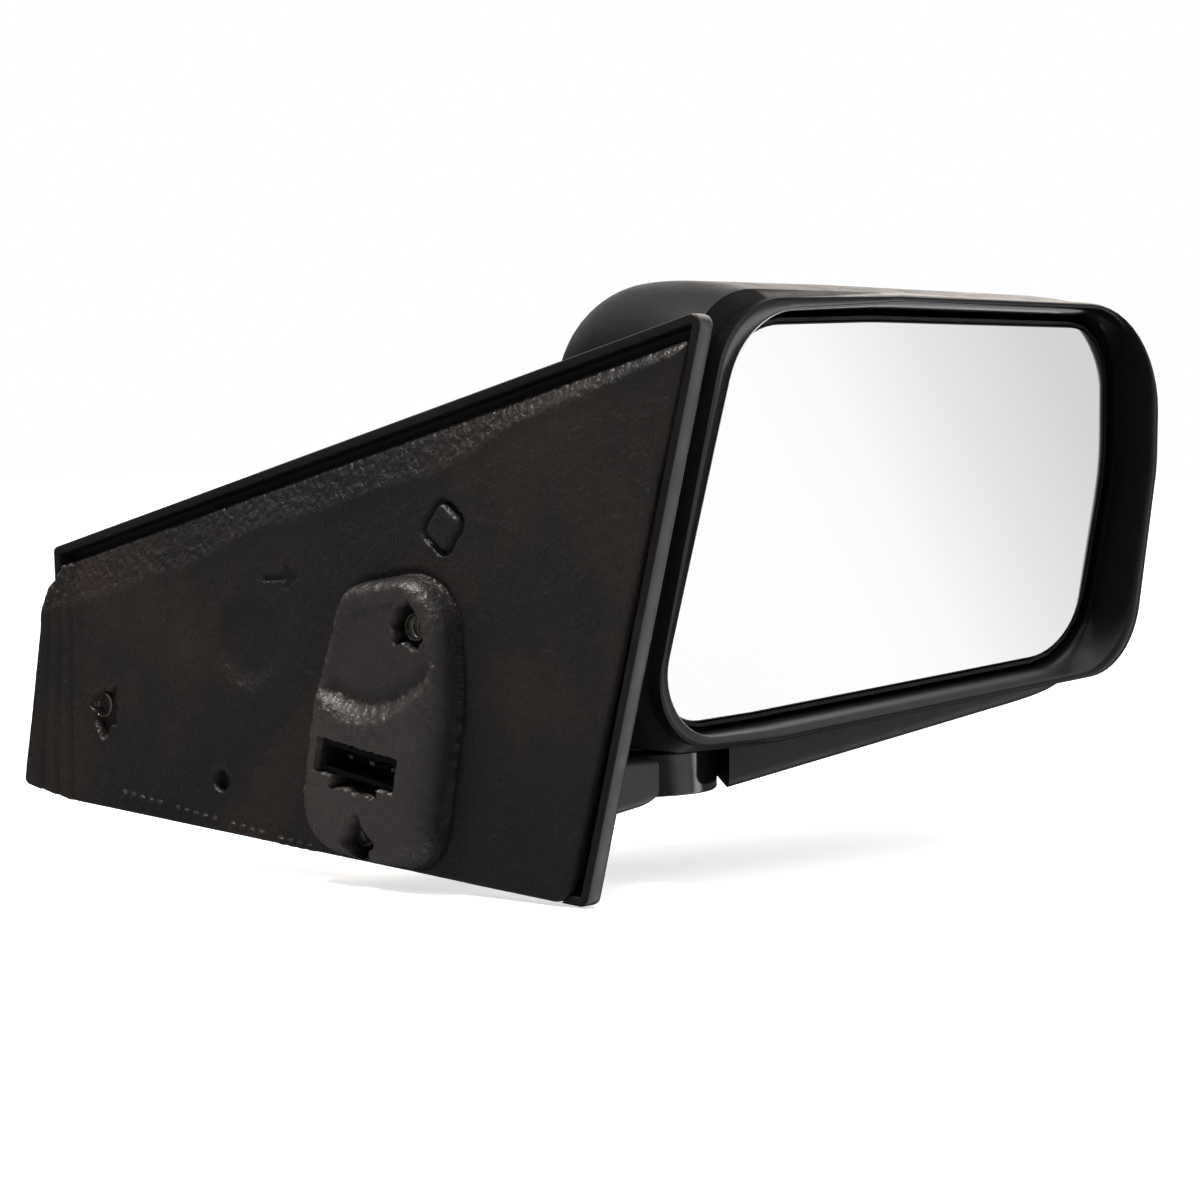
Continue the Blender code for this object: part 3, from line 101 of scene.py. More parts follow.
WEDGE_STATIONS = ((0.0040, -0.01715, -0.0285, 0.0240), (0.0390, -0.0121, -0.0285, 0.0235),
                  (0.1000, -0.0034, -0.0280, 0.0200), (0.1290, 0.0008, -0.0270, 0.0140),
                  (0.1410, 0.0045, -0.0255, 0.0070), (0.1480, 0.0110, -0.0225, 0.0000))
WEDGE_TOP, WEDGE_ROUND, LOW_CUT = 0.0180, 0.0035, -0.00495
DETENT_RADIUS = 0.0100

# ---- Sizes of this picture alone -------------------------------------------------
COLUMN_RADIUS = 0.0249    # the CAD's is 0.0235; this one closes a gap beside the neck
COLUMN_LOW = -0.0168
PAST = 0.01               # how far a cutter runs past what it cuts
SHARPEST = 0.0006         # smallest corner radius of an outline


# ---- Camera -------------------------------------------------------------------
AIM = Vector((0.07637, -0.03687, 0.0289))
STAND = Vector((-0.54328, -0.55681, 0.0713))
lens = bpy.data.cameras.new("camera")
lens.lens = 94.92
lens.sensor_width = 36.0
lens.clip_start = 0.01
camera = bpy.data.objects.new("camera", lens)
bpy.context.collection.objects.link(camera)
camera.location = STAND
camera.rotation_euler = (AIM - STAND).to_track_quat("-Z", "Y").to_euler()
bpy.context.scene.camera = camera


# ---- Materials ------------------------------------------------------------------
def filled(ramp, stops):
    """Gives a ramp node its stops: places, each with a colour or a grey."""
    elements = ramp.color_ramp.elements
    while len(elements) < len(stops):
        elements.new(0.5)
    for element, (place, colour) in zip(elements, stops):
        element.position = place
        colour = colour if isinstance(colour, tuple) else (colour,) * 3
        element.color = (*colour, 1.0)
    return ramp.outputs["Color"]


class Look:
    """A Principled material with helpers that add its node network."""

    def __init__(self, name, roughness=0.5, metallic=0.0, specular=0.5):
        self.material = bpy.data.materials.new(name)
        self.material.use_nodes = True
        self.nodes = self.material.node_tree.nodes
        self.links = self.material.node_tree.links
        self.shader = self.nodes["Principled BSDF"]
        self.shader.inputs["Roughness"].default_value = roughness
        self.shader.inputs["Metallic"].default_value = metallic
        self.shader.inputs["Specular IOR Level"].default_value = specular
        self.spot = self.nodes.new("ShaderNodeTexCoord").outputs["Object"]

    def noise(self, scale, detail=4.0, rough=0.55, warp=0.0):
        node = self.nodes.new("ShaderNodeTexNoise")
        node.inputs["Scale"].default_value = scale
        node.inputs["Detail"].default_value = detail
        node.inputs["Roughness"].default_value = rough
        node.inputs["Distortion"].default_value = warp
        self.links.new(self.spot, node.inputs["Vector"])
        return node.outputs["Fac"]

    def cells(self, scale):
        node = self.nodes.new("ShaderNodeTexVoronoi")
        node.inputs["Scale"].default_value = scale
        self.links.new(self.spot, node.inputs["Vector"])
        return node.outputs["Distance"]

    def wave(self, scale, axis):
        node = self.nodes.new("ShaderNodeTexWave")
        node.bands_direction = axis
        node.inputs["Scale"].default_value = scale
        self.links.new(self.spot, node.inputs["Vector"])
        return node.outputs["Fac"]

    def along(self, axis, start, end, interpolation="LINEAR"):
        """Rises from 0 to 1 between two places on an axis of the piece."""
        split = self.nodes.new("ShaderNodeSeparateXYZ")
        self.links.new(self.spot, split.inputs[0])
        node = self.nodes.new("ShaderNodeMapRange")
        node.interpolation_type = interpolation
        node.inputs["From Min"].default_value = start
        node.inputs["From Max"].default_value = end
        self.links.new(split.outputs[axis], node.inputs["Value"])
        return node.outputs[0]

    def mixed(self, share, first, second):
        node = self.nodes.new("ShaderNodeMix")
        node.data_type = "RGBA"
        self.links.new(share, node.inputs[0])
        self.links.new(first, node.inputs[6])
        self.links.new(second, node.inputs[7])
        return node.outputs[2]

    def ramp(self, source, *stops):
        """Maps a value to colours or greys at the given places."""
        node = self.nodes.new("ShaderNodeValToRGB")
        self.links.new(source, node.inputs["Fac"])
        return filled(node, stops)

    def colour(self, source, *stops):
        self.links.new(self.ramp(source, *stops), self.shader.inputs["Base Color"])

    def rough(self, source, low, high):
        self.links.new(self.ramp(source, (0.3, low), (0.7, high)), self.shader.inputs["Roughness"])

    def bump(self, *layers):
        """Stacks (height source, depth in metres) layers of relief."""
        normal = None
        for source, depth in layers:
            node = self.nodes.new("ShaderNodeBump")
            node.inputs["Strength"].default_value = 1.0
            node.inputs["Distance"].default_value = depth
            self.links.new(source, node.inputs["Height"])
            if normal:
                self.links.new(normal, node.inputs["Normal"])
            normal = node.outputs["Normal"]
        self.links.new(normal, self.shader.inputs["Normal"])


def plastic(name, dark, light, roughness, grain, depth, specular=0.5, spread=0.07):
    """Moulded plastic: a fine grain, slow colour drift and uneven polish."""
    look = Look(name, roughness, 0.0, specular)
    drift = look.noise(28.0, 3.0)
    look.colour(drift, (0.35, dark), (0.70, light))
    look.rough(look.noise(160.0, 5.0, 0.6), roughness - spread, roughness + spread)
    look.bump((look.noise(grain, 2.0, 0.5), depth), (look.noise(45.0, 2.0), depth * 2.0))
    return look.material


def metal(name, dark, light, roughness, scratch=900.0):
    look = Look(name, roughness, 1.0)
    look.colour(look.noise(220.0, 5.0), (0.3, dark), (0.7, light))
    look.rough(look.noise(scratch, 3.0), roughness - 0.08, roughness + 0.12)
    look.bump((look.noise(scratch, 2.0), 0.00001))
    return look.material


def gloss_look():
    """The inside of the lip: glossy, with a rougher satin along its bottom, coloured paler and browner
    there as a painted highlight.
    """
    look = Look("lip_gloss", 0.16, 0.0, 0.26)
    height = look.along("Z", 0.004, 0.024, "SMOOTHSTEP")
    # Painted highlight: the up-facing bottom is coloured paler and browner, as if lit from above; the
    # top stays near black.
    look.colour(height, (0.0, (0.0200, 0.0180, 0.0165)), (1.0, (0.0026, 0.0026, 0.0028)))
    look.links.new(look.ramp(height, (0.0, 0.42), (1.0, 0.17)), look.shader.inputs["Roughness"])
    look.bump((look.noise(500.0, 2.0), 0.000006))
    return look.material


def foam_look():
    """Leathery foam skin, paler and greyer on the raised block."""
    look = Look("gasket_foam")
    patches = look.noise(22.0, 4.0, 0.6)
    flat = look.ramp(patches, (0.30, (0.0105, 0.0098, 0.0092)), (0.50, (0.0130, 0.0118, 0.0112)),
                     (0.75, (0.0250, 0.0165, 0.0150)))
    proud = look.ramp(patches, (0.30, (0.0280, 0.0255, 0.0250)), (0.75, (0.0400, 0.0350, 0.0340)))
    skin = look.mixed(look.along("X", -0.0035, -0.0080), flat, proud)
    look.links.new(skin, look.shader.inputs["Base Color"])
    grains = look.noise(900.0, 3.0, 0.6)
    look.rough(grains, 0.27, 0.52)
    look.bump((look.noise(260.0, 4.0, 0.62, 0.6), 0.00060),
              (grains, 0.00028),
              (look.cells(1500.0), 0.00006))
    return look.material


def thread_look():
    look = Look("threaded_steel", 0.28, 1.0)
    look.colour(look.noise(260.0, 4.0), (0.3, (0.60, 0.57, 0.52)), (0.7, (0.86, 0.84, 0.80)))
    look.bump((look.wave(160.0, "X"), 0.0004))
    return look.material


def mirror_look():
    look = Look("silvered_glass", 0.006, 1.0)
    look.colour(look.noise(12.0, 2.0), (0.3, (0.955, 0.957, 0.960)), (0.7, (0.965, 0.967, 0.970)))
    look.rough(look.noise(60.0, 2.0), 0.004, 0.008)
    return look.material


LOOKS = {
    "cover": plastic("cover_plastic", (0.0065, 0.0062, 0.0060), (0.0095, 0.0090, 0.0087), 0.40, 1500.0,
                     0.00002, specular=0.45),
    "shell": plastic("shell_plastic", (0.0046, 0.0046, 0.0046), (0.0066, 0.0065, 0.0065), 0.42,
                     1300.0, 0.00004, specular=0.17),
    "lip": plastic("lip_satin", (0.0034, 0.0034, 0.0036), (0.0048, 0.0048, 0.0051), 0.31, 1700.0,
                   0.000015, specular=0.10),
    "gloss": gloss_look(),
    "column": plastic("column_gloss", (0.0050, 0.0050, 0.0055), (0.0070, 0.0070, 0.0075), 0.14,
                      700.0, 0.000006, spread=0.04),
    "black": plastic("inner_black", (0.0030, 0.0030, 0.0032), (0.0050, 0.0050, 0.0052), 0.5,
                     1100.0, 0.00002, specular=0.20),
    "grey": plastic("glass_filled_grey", (0.060, 0.060, 0.064), (0.095, 0.095, 0.100), 0.55, 800.0,
                    0.00003),
    "nylon": plastic("natural_nylon", (0.62, 0.60, 0.52), (0.72, 0.70, 0.62), 0.45, 900.0, 0.00001),
    "acetal": plastic("white_acetal", (0.70, 0.70, 0.66), (0.80, 0.80, 0.77), 0.32, 900.0, 0.00001),
    "pad": plastic("adhesive_foam", (0.020, 0.020, 0.020), (0.035, 0.035, 0.035), 0.85, 700.0,
                   0.00008, specular=0.2),
    "wire": plastic("cloth_tape", (0.014, 0.014, 0.016), (0.026, 0.026, 0.028), 0.7, 1400.0, 0.00008,
                    specular=0.3),
    "foam": foam_look(),
    "steel": metal("zinc_plated", (0.50, 0.50, 0.48), (0.68, 0.68, 0.66), 0.30),
    "spring": metal("oiled_spring", (0.22, 0.22, 0.23), (0.34, 0.34, 0.35), 0.34),
    "cast": metal("cast_zinc", (0.34, 0.34, 0.35), (0.46, 0.46, 0.47), 0.50, 500.0),
    "brass": metal("turned_brass", (0.62, 0.44, 0.17), (0.76, 0.56, 0.26), 0.30),
    "thread": thread_look(),
    "mirror": mirror_look(),
}


# ---- Outlines and lofts -------------------------------------------------------------
def rounded(corners, steps):
    """Points of an outline whose corners are replaced by arcs of their radius."""
    points = []
    for i, (u, v, radius) in enumerate(corners):
        here = Vector((u, v))
        before = (Vector(corners[i - 1][:2]) - here).normalized()
        after = (Vector(corners[(i + 1) % len(corners)][:2]) - here).normalized()
        half = before.angle(after) / 2
        middle = here + (before + after).normalized() * radius / math.sin(half)
        start = here + before * radius / math.tan(half)
        sweep = (start - middle).angle_signed(here + after * radius / math.tan(half) - middle)
        arm = start - middle
        for step in range(steps + 1):
            turn = -sweep * step / steps
            points.append((middle.x + arm.x * math.cos(turn) - arm.y * math.sin(turn),
                           middle.y + arm.x * math.sin(turn) + arm.y * math.cos(turn)))
    return points


def inset(corners, distance, soft=1.0):
    """Moves the sides of a counter-clockwise outline in, and shrinks its radii."""
    count = len(corners)
    moves = distance if isinstance(distance, (tuple, list)) else (distance,) * count
    sides = []
    for i in range(count):
        start = Vector(corners[i][:2])
        along = (Vector(corners[(i + 1) % count][:2]) - start).normalized()
        sides.append((start + Vector((-along.y, along.x)) * moves[i], along))
    result = []
    for i in range(count):
        (p, d), (q, e) = sides[i - 1], sides[i]
        t = (q - p).cross(e) / d.cross(e)
        radius = corners[i][2] - soft * (moves[i - 1] + moves[i]) / 2
        result.append((*(p + d * t), max(radius, SHARPEST)))
    return tuple(result)


def rectangle(width, height, radius, place=(0.0, 0.0)):
    signs = ((-1, -1), (1, -1), (1, 1), (-1, 1))
    return tuple((place[0] + a * width / 2, place[1] + b * height / 2, radius) for a, b in signs)


def circle(radius, steps):
    return [(radius * math.cos(2 * math.pi * i / steps), radius * math.sin(2 * math.pi * i / steps))
            for i in range(steps)]


def across_x(points, x):
    return [(x, u, v) for u, v in points]


def across_y(points, y):
    return [(u, y, v) for u, v in points]


def across_z(points, z):
    return [(u, v, z) for u, v in points]


def blended(first, second, share):
    return [(a[0] + (b[0] - a[0]) * share, a[1] + (b[1] - a[1]) * share)
            for a, b in zip(first, second)]


def loft(rings, looped=False, looks=()):
    """Skins rings of equal point count; looks gives a material number for each band."""
    bm = bmesh.new()
    loops = [[bm.verts.new(p) for p in ring] for ring in rings]
    followers = loops[1:] + loops[:1] if looped else loops[1:]
    for band, (near, far) in enumerate(zip(loops, followers)):
        for i in range(len(near)):
            j = (i + 1) % len(near)
            face = bm.faces.new((near[i], near[j], far[j], far[i]))
            face.material_index = looks[band] if looks else 0
    if not looped:
        bm.faces.new(loops[0])
        bm.faces.new(loops[-1])
    bmesh.ops.recalc_face_normals(bm, faces=bm.faces)
    return bm


def turned(profile, steps=64, hollow=False):
    return loft([across_z(circle(r, steps), z) for r, z in profile], hollow)


def mesh_of(name, bm, where=Matrix()):
    mesh = bpy.data.meshes.new(name)
    bm.to_mesh(mesh)
    bm.free()
    mesh.transform(where)
    piece = bpy.data.objects.new(name, mesh)
    bpy.context.collection.objects.link(piece)
    return piece


def solved(piece, steps):
    """Applies EXACT booleans of (operation, tool) steps and removes the tools."""
    for operation, tool in steps:
        modifier = piece.modifiers.new("boolean", "BOOLEAN")
        modifier.solver = "EXACT"
        modifier.operation = operation
        modifier.object = tool
    graph = bpy.context.evaluated_depsgraph_get()
    mesh = bpy.data.meshes.new_from_object(piece.evaluated_get(graph))
    piece.modifiers.clear()
    piece.data = mesh
    for _, tool in steps:
        bpy.data.objects.remove(tool, do_unlink=True)
    return piece


def finish(piece, body, looks, nodes, angle):
    """Gives a piece its materials, shading and body, and hides the CAD nodes it replaces."""
    for look in looks:
        piece.data.materials.append(LOOKS[look])
    piece.data.shade_smooth()
    piece.data.set_sharp_from_angle(angle=math.radians(angle))
    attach(piece, body)
    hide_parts(*nodes)


# ---- Mirror head ------------------------------------------------------------------------
FINE = 12                 # steps round each corner of the head's outlines
NOSE_END = 0.985          # share of the nose's depth where its flat front begins
BULGE_PAST = 0.02         # how far past the start of the nose the sides stay bulged
SIDE_STEPS, NOSE_STEPS, FRONT_STEPS = 12, 18, 11
FRONT_SHARE, FRONT_FADE = 0.08, 0.65        # of the way to the middle: one ring, and the crown's edge
CROWN_DROP = 0.0006       # the front stays this much under the full crown
WEDGE_STEPS, NOTCH_STEPS = 6, 32
NOTCH_FAR, NOTCH_LOW = 0.07, -0.04
WEDGE_TIP_X = 0.13        # past this, the wedge's hollow is drawn back from its tip
BORE_DEPTH, BORE_ROOM = 0.012, 0.0006       # of the hole round the detent


def shell_corners(y, wall):
    bulge = math.sin(math.pi * min(max((y - SEAM_Y) / (SHELL_ROUND_Y + BULGE_PAST - SEAM_Y), 0), 1))
    share = min(max((y - SHELL_ROUND_Y) / (SHELL_NOSE_Y - SHELL_ROUND_Y), 0.0), NOSE_END)
    close = 1 - math.sqrt(1 - share * share)
    moves = tuple(wall + c * close - b * bulge for c, b in zip(SHELL_CLOSE, SHELL_BULGE))
    return inset(LIP_CORNERS, moves, 0.5)


def shell_body(wall, rear):
    span = SHELL_NOSE_Y - wall - SHELL_ROUND_Y
    rings = [across_y(rounded(shell_corners(SEAM_Y, wall), FINE), rear)]
    for i in range(1, SIDE_STEPS + 1):
        y = SEAM_Y + (SHELL_ROUND_Y - SEAM_Y) * i / SIDE_STEPS
        rings.append(across_y(rounded(shell_corners(y, wall), FINE), y))
    for i in range(1, NOSE_STEPS + 1):
        share = NOSE_END * math.sin(math.pi / 2 * i / NOSE_STEPS)
        y = SHELL_ROUND_Y + span * share
        corners = shell_corners(SHELL_ROUND_Y + (SHELL_NOSE_Y - SHELL_ROUND_Y) * share, wall)
        rings.append(across_y(rounded(corners, FINE), y))
    last = rounded(corners, FINE)
    middle = [PIVOT] * len(last)
    for i in range(1, FRONT_STEPS + 1):
        share = FRONT_SHARE * i
        rise = 1 - max(0.0, 1 - share / FRONT_FADE) ** 2
        y = SHELL_NOSE_Y - wall + (SHELL_CROWN - CROWN_DROP) * rise
        rings.append(across_y(blended(last, middle, share), y))
    return loft(rings)


def wedge_body(wall):
    knots = [tuple(2 * a - b for a, b in zip(WEDGE_STATIONS[0], WEDGE_STATIONS[1])),
             *WEDGE_STATIONS,
             tuple(2 * a - b for a, b in zip(WEDGE_STATIONS[-1], WEDGE_STATIONS[-2]))]
    stations = []
    for p, q, r, s in zip(knots, knots[1:], knots[2:], knots[3:]):
        for i in range(WEDGE_STEPS):
            t = i / WEDGE_STEPS
            stations.append([0.5 * (2 * b + (c - a) * t + (2 * a - 5 * b + 4 * c - d) * t * t
                                    + (3 * b - a - 3 * c + d) * t ** 3)
                             for a, b, c, d in zip(p, q, r, s)])
    stations.append(list(WEDGE_STATIONS[-1]))
    rings = []
    for x, low, rear, front in stations:
        outline = rectangle(front - rear - 2 * wall, WEDGE_TOP - low - 2 * wall,
                            WEDGE_ROUND - wall / 2, ((front + rear) / 2, (WEDGE_TOP + low) / 2))
        rings.append(across_x(rounded(outline, 8), x - (wall if x > WEDGE_TIP_X else 0.0)))
    return loft(rings)


def fold_notch(grow, low, high):
    reach = NECK_HALF + FOLD_CLEAR + grow
    first, last = -(math.pi / 2 - FOLD_REAR), math.pi / 2 - FOLD_FRONT
    points = []
    for i in range(NOTCH_STEPS + 1):
        angle = first + (last - first) * i / NOTCH_STEPS
        points.append((reach * math.cos(angle), reach * math.sin(angle)))
    front, rear = points[-1], points[0]
    points.append((front[0] - NOTCH_FAR * math.sin(last), front[1] + NOTCH_FAR * math.cos(last)))
    points.append((-NOTCH_FAR, NOTCH_FAR))
    points.append((-NOTCH_FAR, -NOTCH_FAR))
    points.append((rear[0] + NOTCH_FAR * math.sin(first), rear[1] - NOTCH_FAR * math.cos(first)))
    return loft([across_z(points, low), across_z(points, high)])


def housing():
    hollow = solved(mesh_of("tool", shell_body(SHELL_WALL, SEAM_Y - 0.004)), [
        ("UNION", mesh_of("tool", wedge_body(SHELL_WALL))),
        ("DIFFERENCE", mesh_of("tool", fold_notch(SHELL_WALL, NOTCH_LOW, LOW_CUT + SHELL_WALL)))])
    bore = turned(((DETENT_RADIUS + BORE_ROOM, -BORE_DEPTH), (DETENT_RADIUS + BORE_ROOM, 0.0)))
    piece = solved(mesh_of("housing", shell_body(0.0, SEAM_Y)), [
        ("UNION", mesh_of("tool", wedge_body(0.0))),
        ("DIFFERENCE", mesh_of("tool", fold_notch(0.0, NOTCH_LOW, LOW_CUT))),
        ("DIFFERENCE", hollow),
        ("DIFFERENCE", mesh_of("tool", bore))])
    piece.data.transform(HEAD)
    finish(piece, "head", ["shell"], ["mirror_shell"], 24.0)


LIP_PROFILE = (           # share of the way from the rim to the tunnel, and depth behind the crest
    (0.000, 0.0057), (0.000, 0.0040), (0.010, 0.0026), (0.050, 0.0015), (0.125, 0.0006),
    (0.230, 0.0001), (0.340, 0.0000), (0.450, 0.0003), (0.560, 0.0010), (0.660, 0.0019),
    (0.770, 0.0031), (0.880, 0.0046), (0.960, 0.0062), (1.000, 0.0078), (1.000, 0.0100),
)
SATIN_SHARE = 0.50        # the rest of the way in is glossy
LEDGE_START, LEDGE_POWER = 0.42, 5.0        # share where the left side's ledge starts, and its push
LEDGE_REACH = (-0.012, 0.060)               # x, at z = 0, where the ledge starts to fade and is gone
LIP_LEAN = 0.228          # x per z of the left side's lean
LINING_FRONT = 0.0090     # depth of the bezel's hollow back
LINING_TURN = (0.45, 0.0045)                # share of the way in, and depth, of a ring on it


def ledged(rim, tunnel, share):
    """A ring of the lip, pushed towards the tunnel along the left side, where a ledge runs."""
    start, end = LEDGE_REACH
    late = max(share - LEDGE_START, 0.0) / (1 - LEDGE_START)
    late = LEDGE_START + (1 - LEDGE_START) * (1 - (1 - late) ** LEDGE_POWER)
    ring = []
    for (x, z), (rim_x, rim_z), (far_x, far_z) in zip(blended(rim, tunnel, share), rim, tunnel):
        side = min(max((x - LIP_LEAN * z - start) / (end - start), 0.0), 1.0)
        part = share + max(late - share, 0.0) * (1 - side * side * (3 - 2 * side))
        ring.append((rim_x + (far_x - rim_x) * part, rim_z + (far_z - rim_z) * part))
    return ring


def lip():
    rim = rounded(LIP_CORNERS, FINE)
    margin = HOLDER_RIM + GAP + TUNNEL_MARGIN
    tunnel = rounded(inset(GLASS_CORNERS, -margin), FINE)
    lining = rounded(inset(GLASS_CORNERS, -margin - BEZEL_WALL), FINE)
    back = rounded(inset(LIP_CORNERS, BEZEL_WALL), FINE)
    seam = SEAM_Y - GAP
    rings = [across_y(rim, seam)]
    looks = []
    for share, depth in LIP_PROFILE[1:]:
        rings.append(across_y(ledged(rim, tunnel, share), LIP_Y + depth))
        looks.append(1 if share > SATIN_SHARE else 0)
    rings += [across_y(tunnel, TUNNEL_END_Y), across_y(lining, TUNNEL_END_Y),
              across_y(lining, LIP_Y + LINING_FRONT),
              across_y(blended(back, lining, LINING_TURN[0]), LIP_Y + LINING_TURN[1]),
              across_y(back, seam)]
    looks += [1, 1, 0, 0, 0, 0]
    piece = mesh_of("lip", loft(rings, True, looks), HEAD)
    finish(piece, "head", ["lip", "gloss"], ["bezel"], 40.0)


PANE_EDGE = ((0.0005, 0.0), (0.0002, 0.00015), (0.0, 0.0005))       # in from the edge, and depth


def pane():
    rings = [across_y(rounded(inset(GLASS_CORNERS, shrink), FINE), GLASS_Y + depth)
             for shrink, depth in (*PANE_EDGE, (0.0, GLASS_THICK))]
    piece = mesh_of("mirror_pane", loft(rings), HEAD)
    finish(piece, "glass", ["mirror"], ["mirror_glass"], 20.0)


COLUMN_WALL, COLUMN_EDGE = 0.0022, 0.0007
COLUMN_FOOT = 0.0016      # height of the bevel inside the wall's lower end
COLUMN_BORE = DETENT_RADIUS - 0.0005
EDGE_STEPS = 6


def column():
    low, high = COLUMN_LOW, NECK_TOP
    inner, edge = COLUMN_RADIUS - COLUMN_WALL, COLUMN_EDGE
    profile = [(inner, low + COLUMN_FOOT), (inner, high - COLUMN_WALL),
               (COLUMN_BORE, high - COLUMN_WALL), (COLUMN_BORE, high)]
    turns = [math.pi / 2 * i / EDGE_STEPS for i in range(EDGE_STEPS + 1)]
    for turn in turns:
        profile.append((COLUMN_RADIUS - edge + edge * math.sin(turn),
                        high - edge + edge * math.cos(turn)))
    for turn in turns:
        profile.append((COLUMN_RADIUS - edge + edge * math.cos(turn),
                        low + edge - edge * math.sin(turn)))
    piece = mesh_of("column_shroud", turned(profile, 96), HEAD)
    finish(piece, "base", ["column"], ["pivot_column"], 40.0)


# ---- Base -------------------------------------------------------------------------------------
def neck_ring(x, shrink=0.0, lean=0.0):
    low = NECK_BOTTOM + NECK_SLOPE * x + shrink
    high = NECK_TOP - shrink
    outline = rectangle(2 * (NECK_HALF - shrink), high - low, NECK_ROUND - shrink / 2,
                        (0.0, (low + high) / 2))
    return [(x + lean * y, y, z) for y, z in rounded(outline, 8)]


COVER_EDGE = 0.00045      # rounding of the rim's edges
COVER_EDGE_STEPS = 4
SIDE_TURN = ((-0.0008, 0.0), (-0.0002, 0.00015), (0.0003, 0.0006))  # x past the side, and depth in
TOP_TURN = 0.0003         # rounding where the shoulder meets the outboard face
ROOT_PAST = 0.002         # how far the neck's hollow runs through the cover


def cover():
    def ring(x, depth):
        return across_x(rounded(inset(COVER_CORNERS, depth), 8), x)

    lean = COVER_SHOULDER / (COVER_TOP_X - COVER_SIDE_X)
    roof_x = COVER_TOP_X - COVER_WALL
    edge = COVER_EDGE
    rings = [ring(roof_x, COVER_WALL + (roof_x - COVER_SIDE_X) * lean), ring(COVER_SIDE_X, COVER_WALL)]
    turns = [math.pi / 2 * i / COVER_EDGE_STEPS for i in range(COVER_EDGE_STEPS + 1)]
    for turn in turns:
        rings.append(ring(RIM_X + edge * (1 - math.sin(turn)),
                          COVER_WALL - edge * (1 - math.cos(turn))))
    for turn in turns:
        rings.append(ring(RIM_X + edge * (1 - math.cos(turn)), edge * (1 - math.sin(turn))))
    rings += [ring(COVER_SIDE_X + past, depth) for past, depth in SIDE_TURN]
    rings += [ring(COVER_TOP_X - COVER_WALL / 2, COVER_SHOULDER - COVER_WALL / 2),
              ring(COVER_TOP_X - TOP_TURN, COVER_SHOULDER),
              ring(COVER_TOP_X, COVER_SHOULDER + COVER_WALL / 2)]
    outline = rounded(inset(FOAM_CORNERS, -GAP), 8)
    piece = solved(mesh_of("cover", loft(rings)), [
        ("UNION", mesh_of("tool", loft([neck_ring(NECK_ROOT, 0.0, math.tan(HEAD_YAW)),
                                        neck_ring(NECK_END)]), HEAD)),
        ("DIFFERENCE", mesh_of("tool", loft([neck_ring(NECK_ROOT - ROOT_PAST, NECK_WALL,
                                                       math.tan(HEAD_YAW)),
                                             neck_ring(0.0, NECK_WALL)]), HEAD)),
        ("DIFFERENCE", mesh_of("tool", turned(((COLUMN_RADIUS + GAP, NECK_BOTTOM - PAST),
                                               (COLUMN_RADIUS + GAP, NECK_TOP + PAST)), 96), HEAD)),
        ("DIFFERENCE", mesh_of("tool", loft([across_x(outline, RIM_X - PAST),
                                             across_x(outline, LOW_RIM_X)])))])
    finish(piece, "base", ["cover"], ["sail_cover"], 30.0)


INSERT_RADIUS, INSERT_BORE, INSERT_ROOT = 0.0034, 0.0025, 0.0028
INSERT_EDGE, THREAD_PITCH = 0.0003, 0.0010
THREAD_CREST, THREAD_ROOT = 0.0002, 0.0006  # heights within one pitch
INSERT_FLARE = 0.0002


def inserts():
    """Metal inserts with a bore of grooves, one for each turn of thread."""
    for i, (y, z) in enumerate(FIXINGS):
        low, high = (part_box(f"threaded_insert_{i + 1}")[k][0] for k in (0, 1))
        profile = [(INSERT_RADIUS - INSERT_EDGE, low), (INSERT_RADIUS, low + INSERT_EDGE),
                   (INSERT_RADIUS, high), (INSERT_ROOT, high)]
        length = high - low - 2 * INSERT_EDGE
        turns = round(length / THREAD_PITCH)
        for k in range(turns):
            rise = high - INSERT_EDGE - length * k / turns
            profile += [(INSERT_BORE, rise - THREAD_CREST), (INSERT_ROOT, rise - THREAD_ROOT)]
        profile += [(INSERT_ROOT + INSERT_FLARE, low)]
        where = Matrix.Translation((0, y, z)) @ Matrix.Rotation(math.pi / 2, 4, "Y")
        piece = mesh_of(f"insert_{i + 1}", turned(profile, 40, True), where)
        finish(piece, "base", ["thread"], [f"threaded_insert_{i + 1}"], 25.0)


# ---- Gasket -------------------------------------------------------------------------------------
def soft_step(value, low, high):
    t = np.clip((value - low) / (high - low), 0.0, 1.0)
    return t * t * (3 - 2 * t)


def bump(value, centre, width):
    """A smooth bump, 1 high at its centre."""
    return np.exp(-((value - centre) / width) ** 2)


def distance(points, place):
    return np.hypot(*(points - np.array(place)).T)


def depth_inside(points, outline):
    """Signed distance to an outline, positive inside."""
    best = np.full(len(points), 1e9)
    inside = np.zeros(len(points), bool)
    ring = np.array(outline)
    for a, b in zip(ring, np.roll(ring, -1, 0)):
        edge = b - a
        t = np.clip(((points - a) @ edge) / (edge @ edge + 1e-18), 0, 1)
        gap = points - a - t[:, None] * edge
        best = np.minimum(best, np.hypot(gap[:, 0], gap[:, 1]))
        crosses = (a[1] > points[:, 1]) != (b[1] > points[:, 1])
        with np.errstate(divide="ignore", invalid="ignore"):
            at = a[0] + (points[:, 1] - a[1]) * edge[0] / edge[1]
        inside ^= crosses & (points[:, 0] < at)
    return np.where(inside, best, -best)


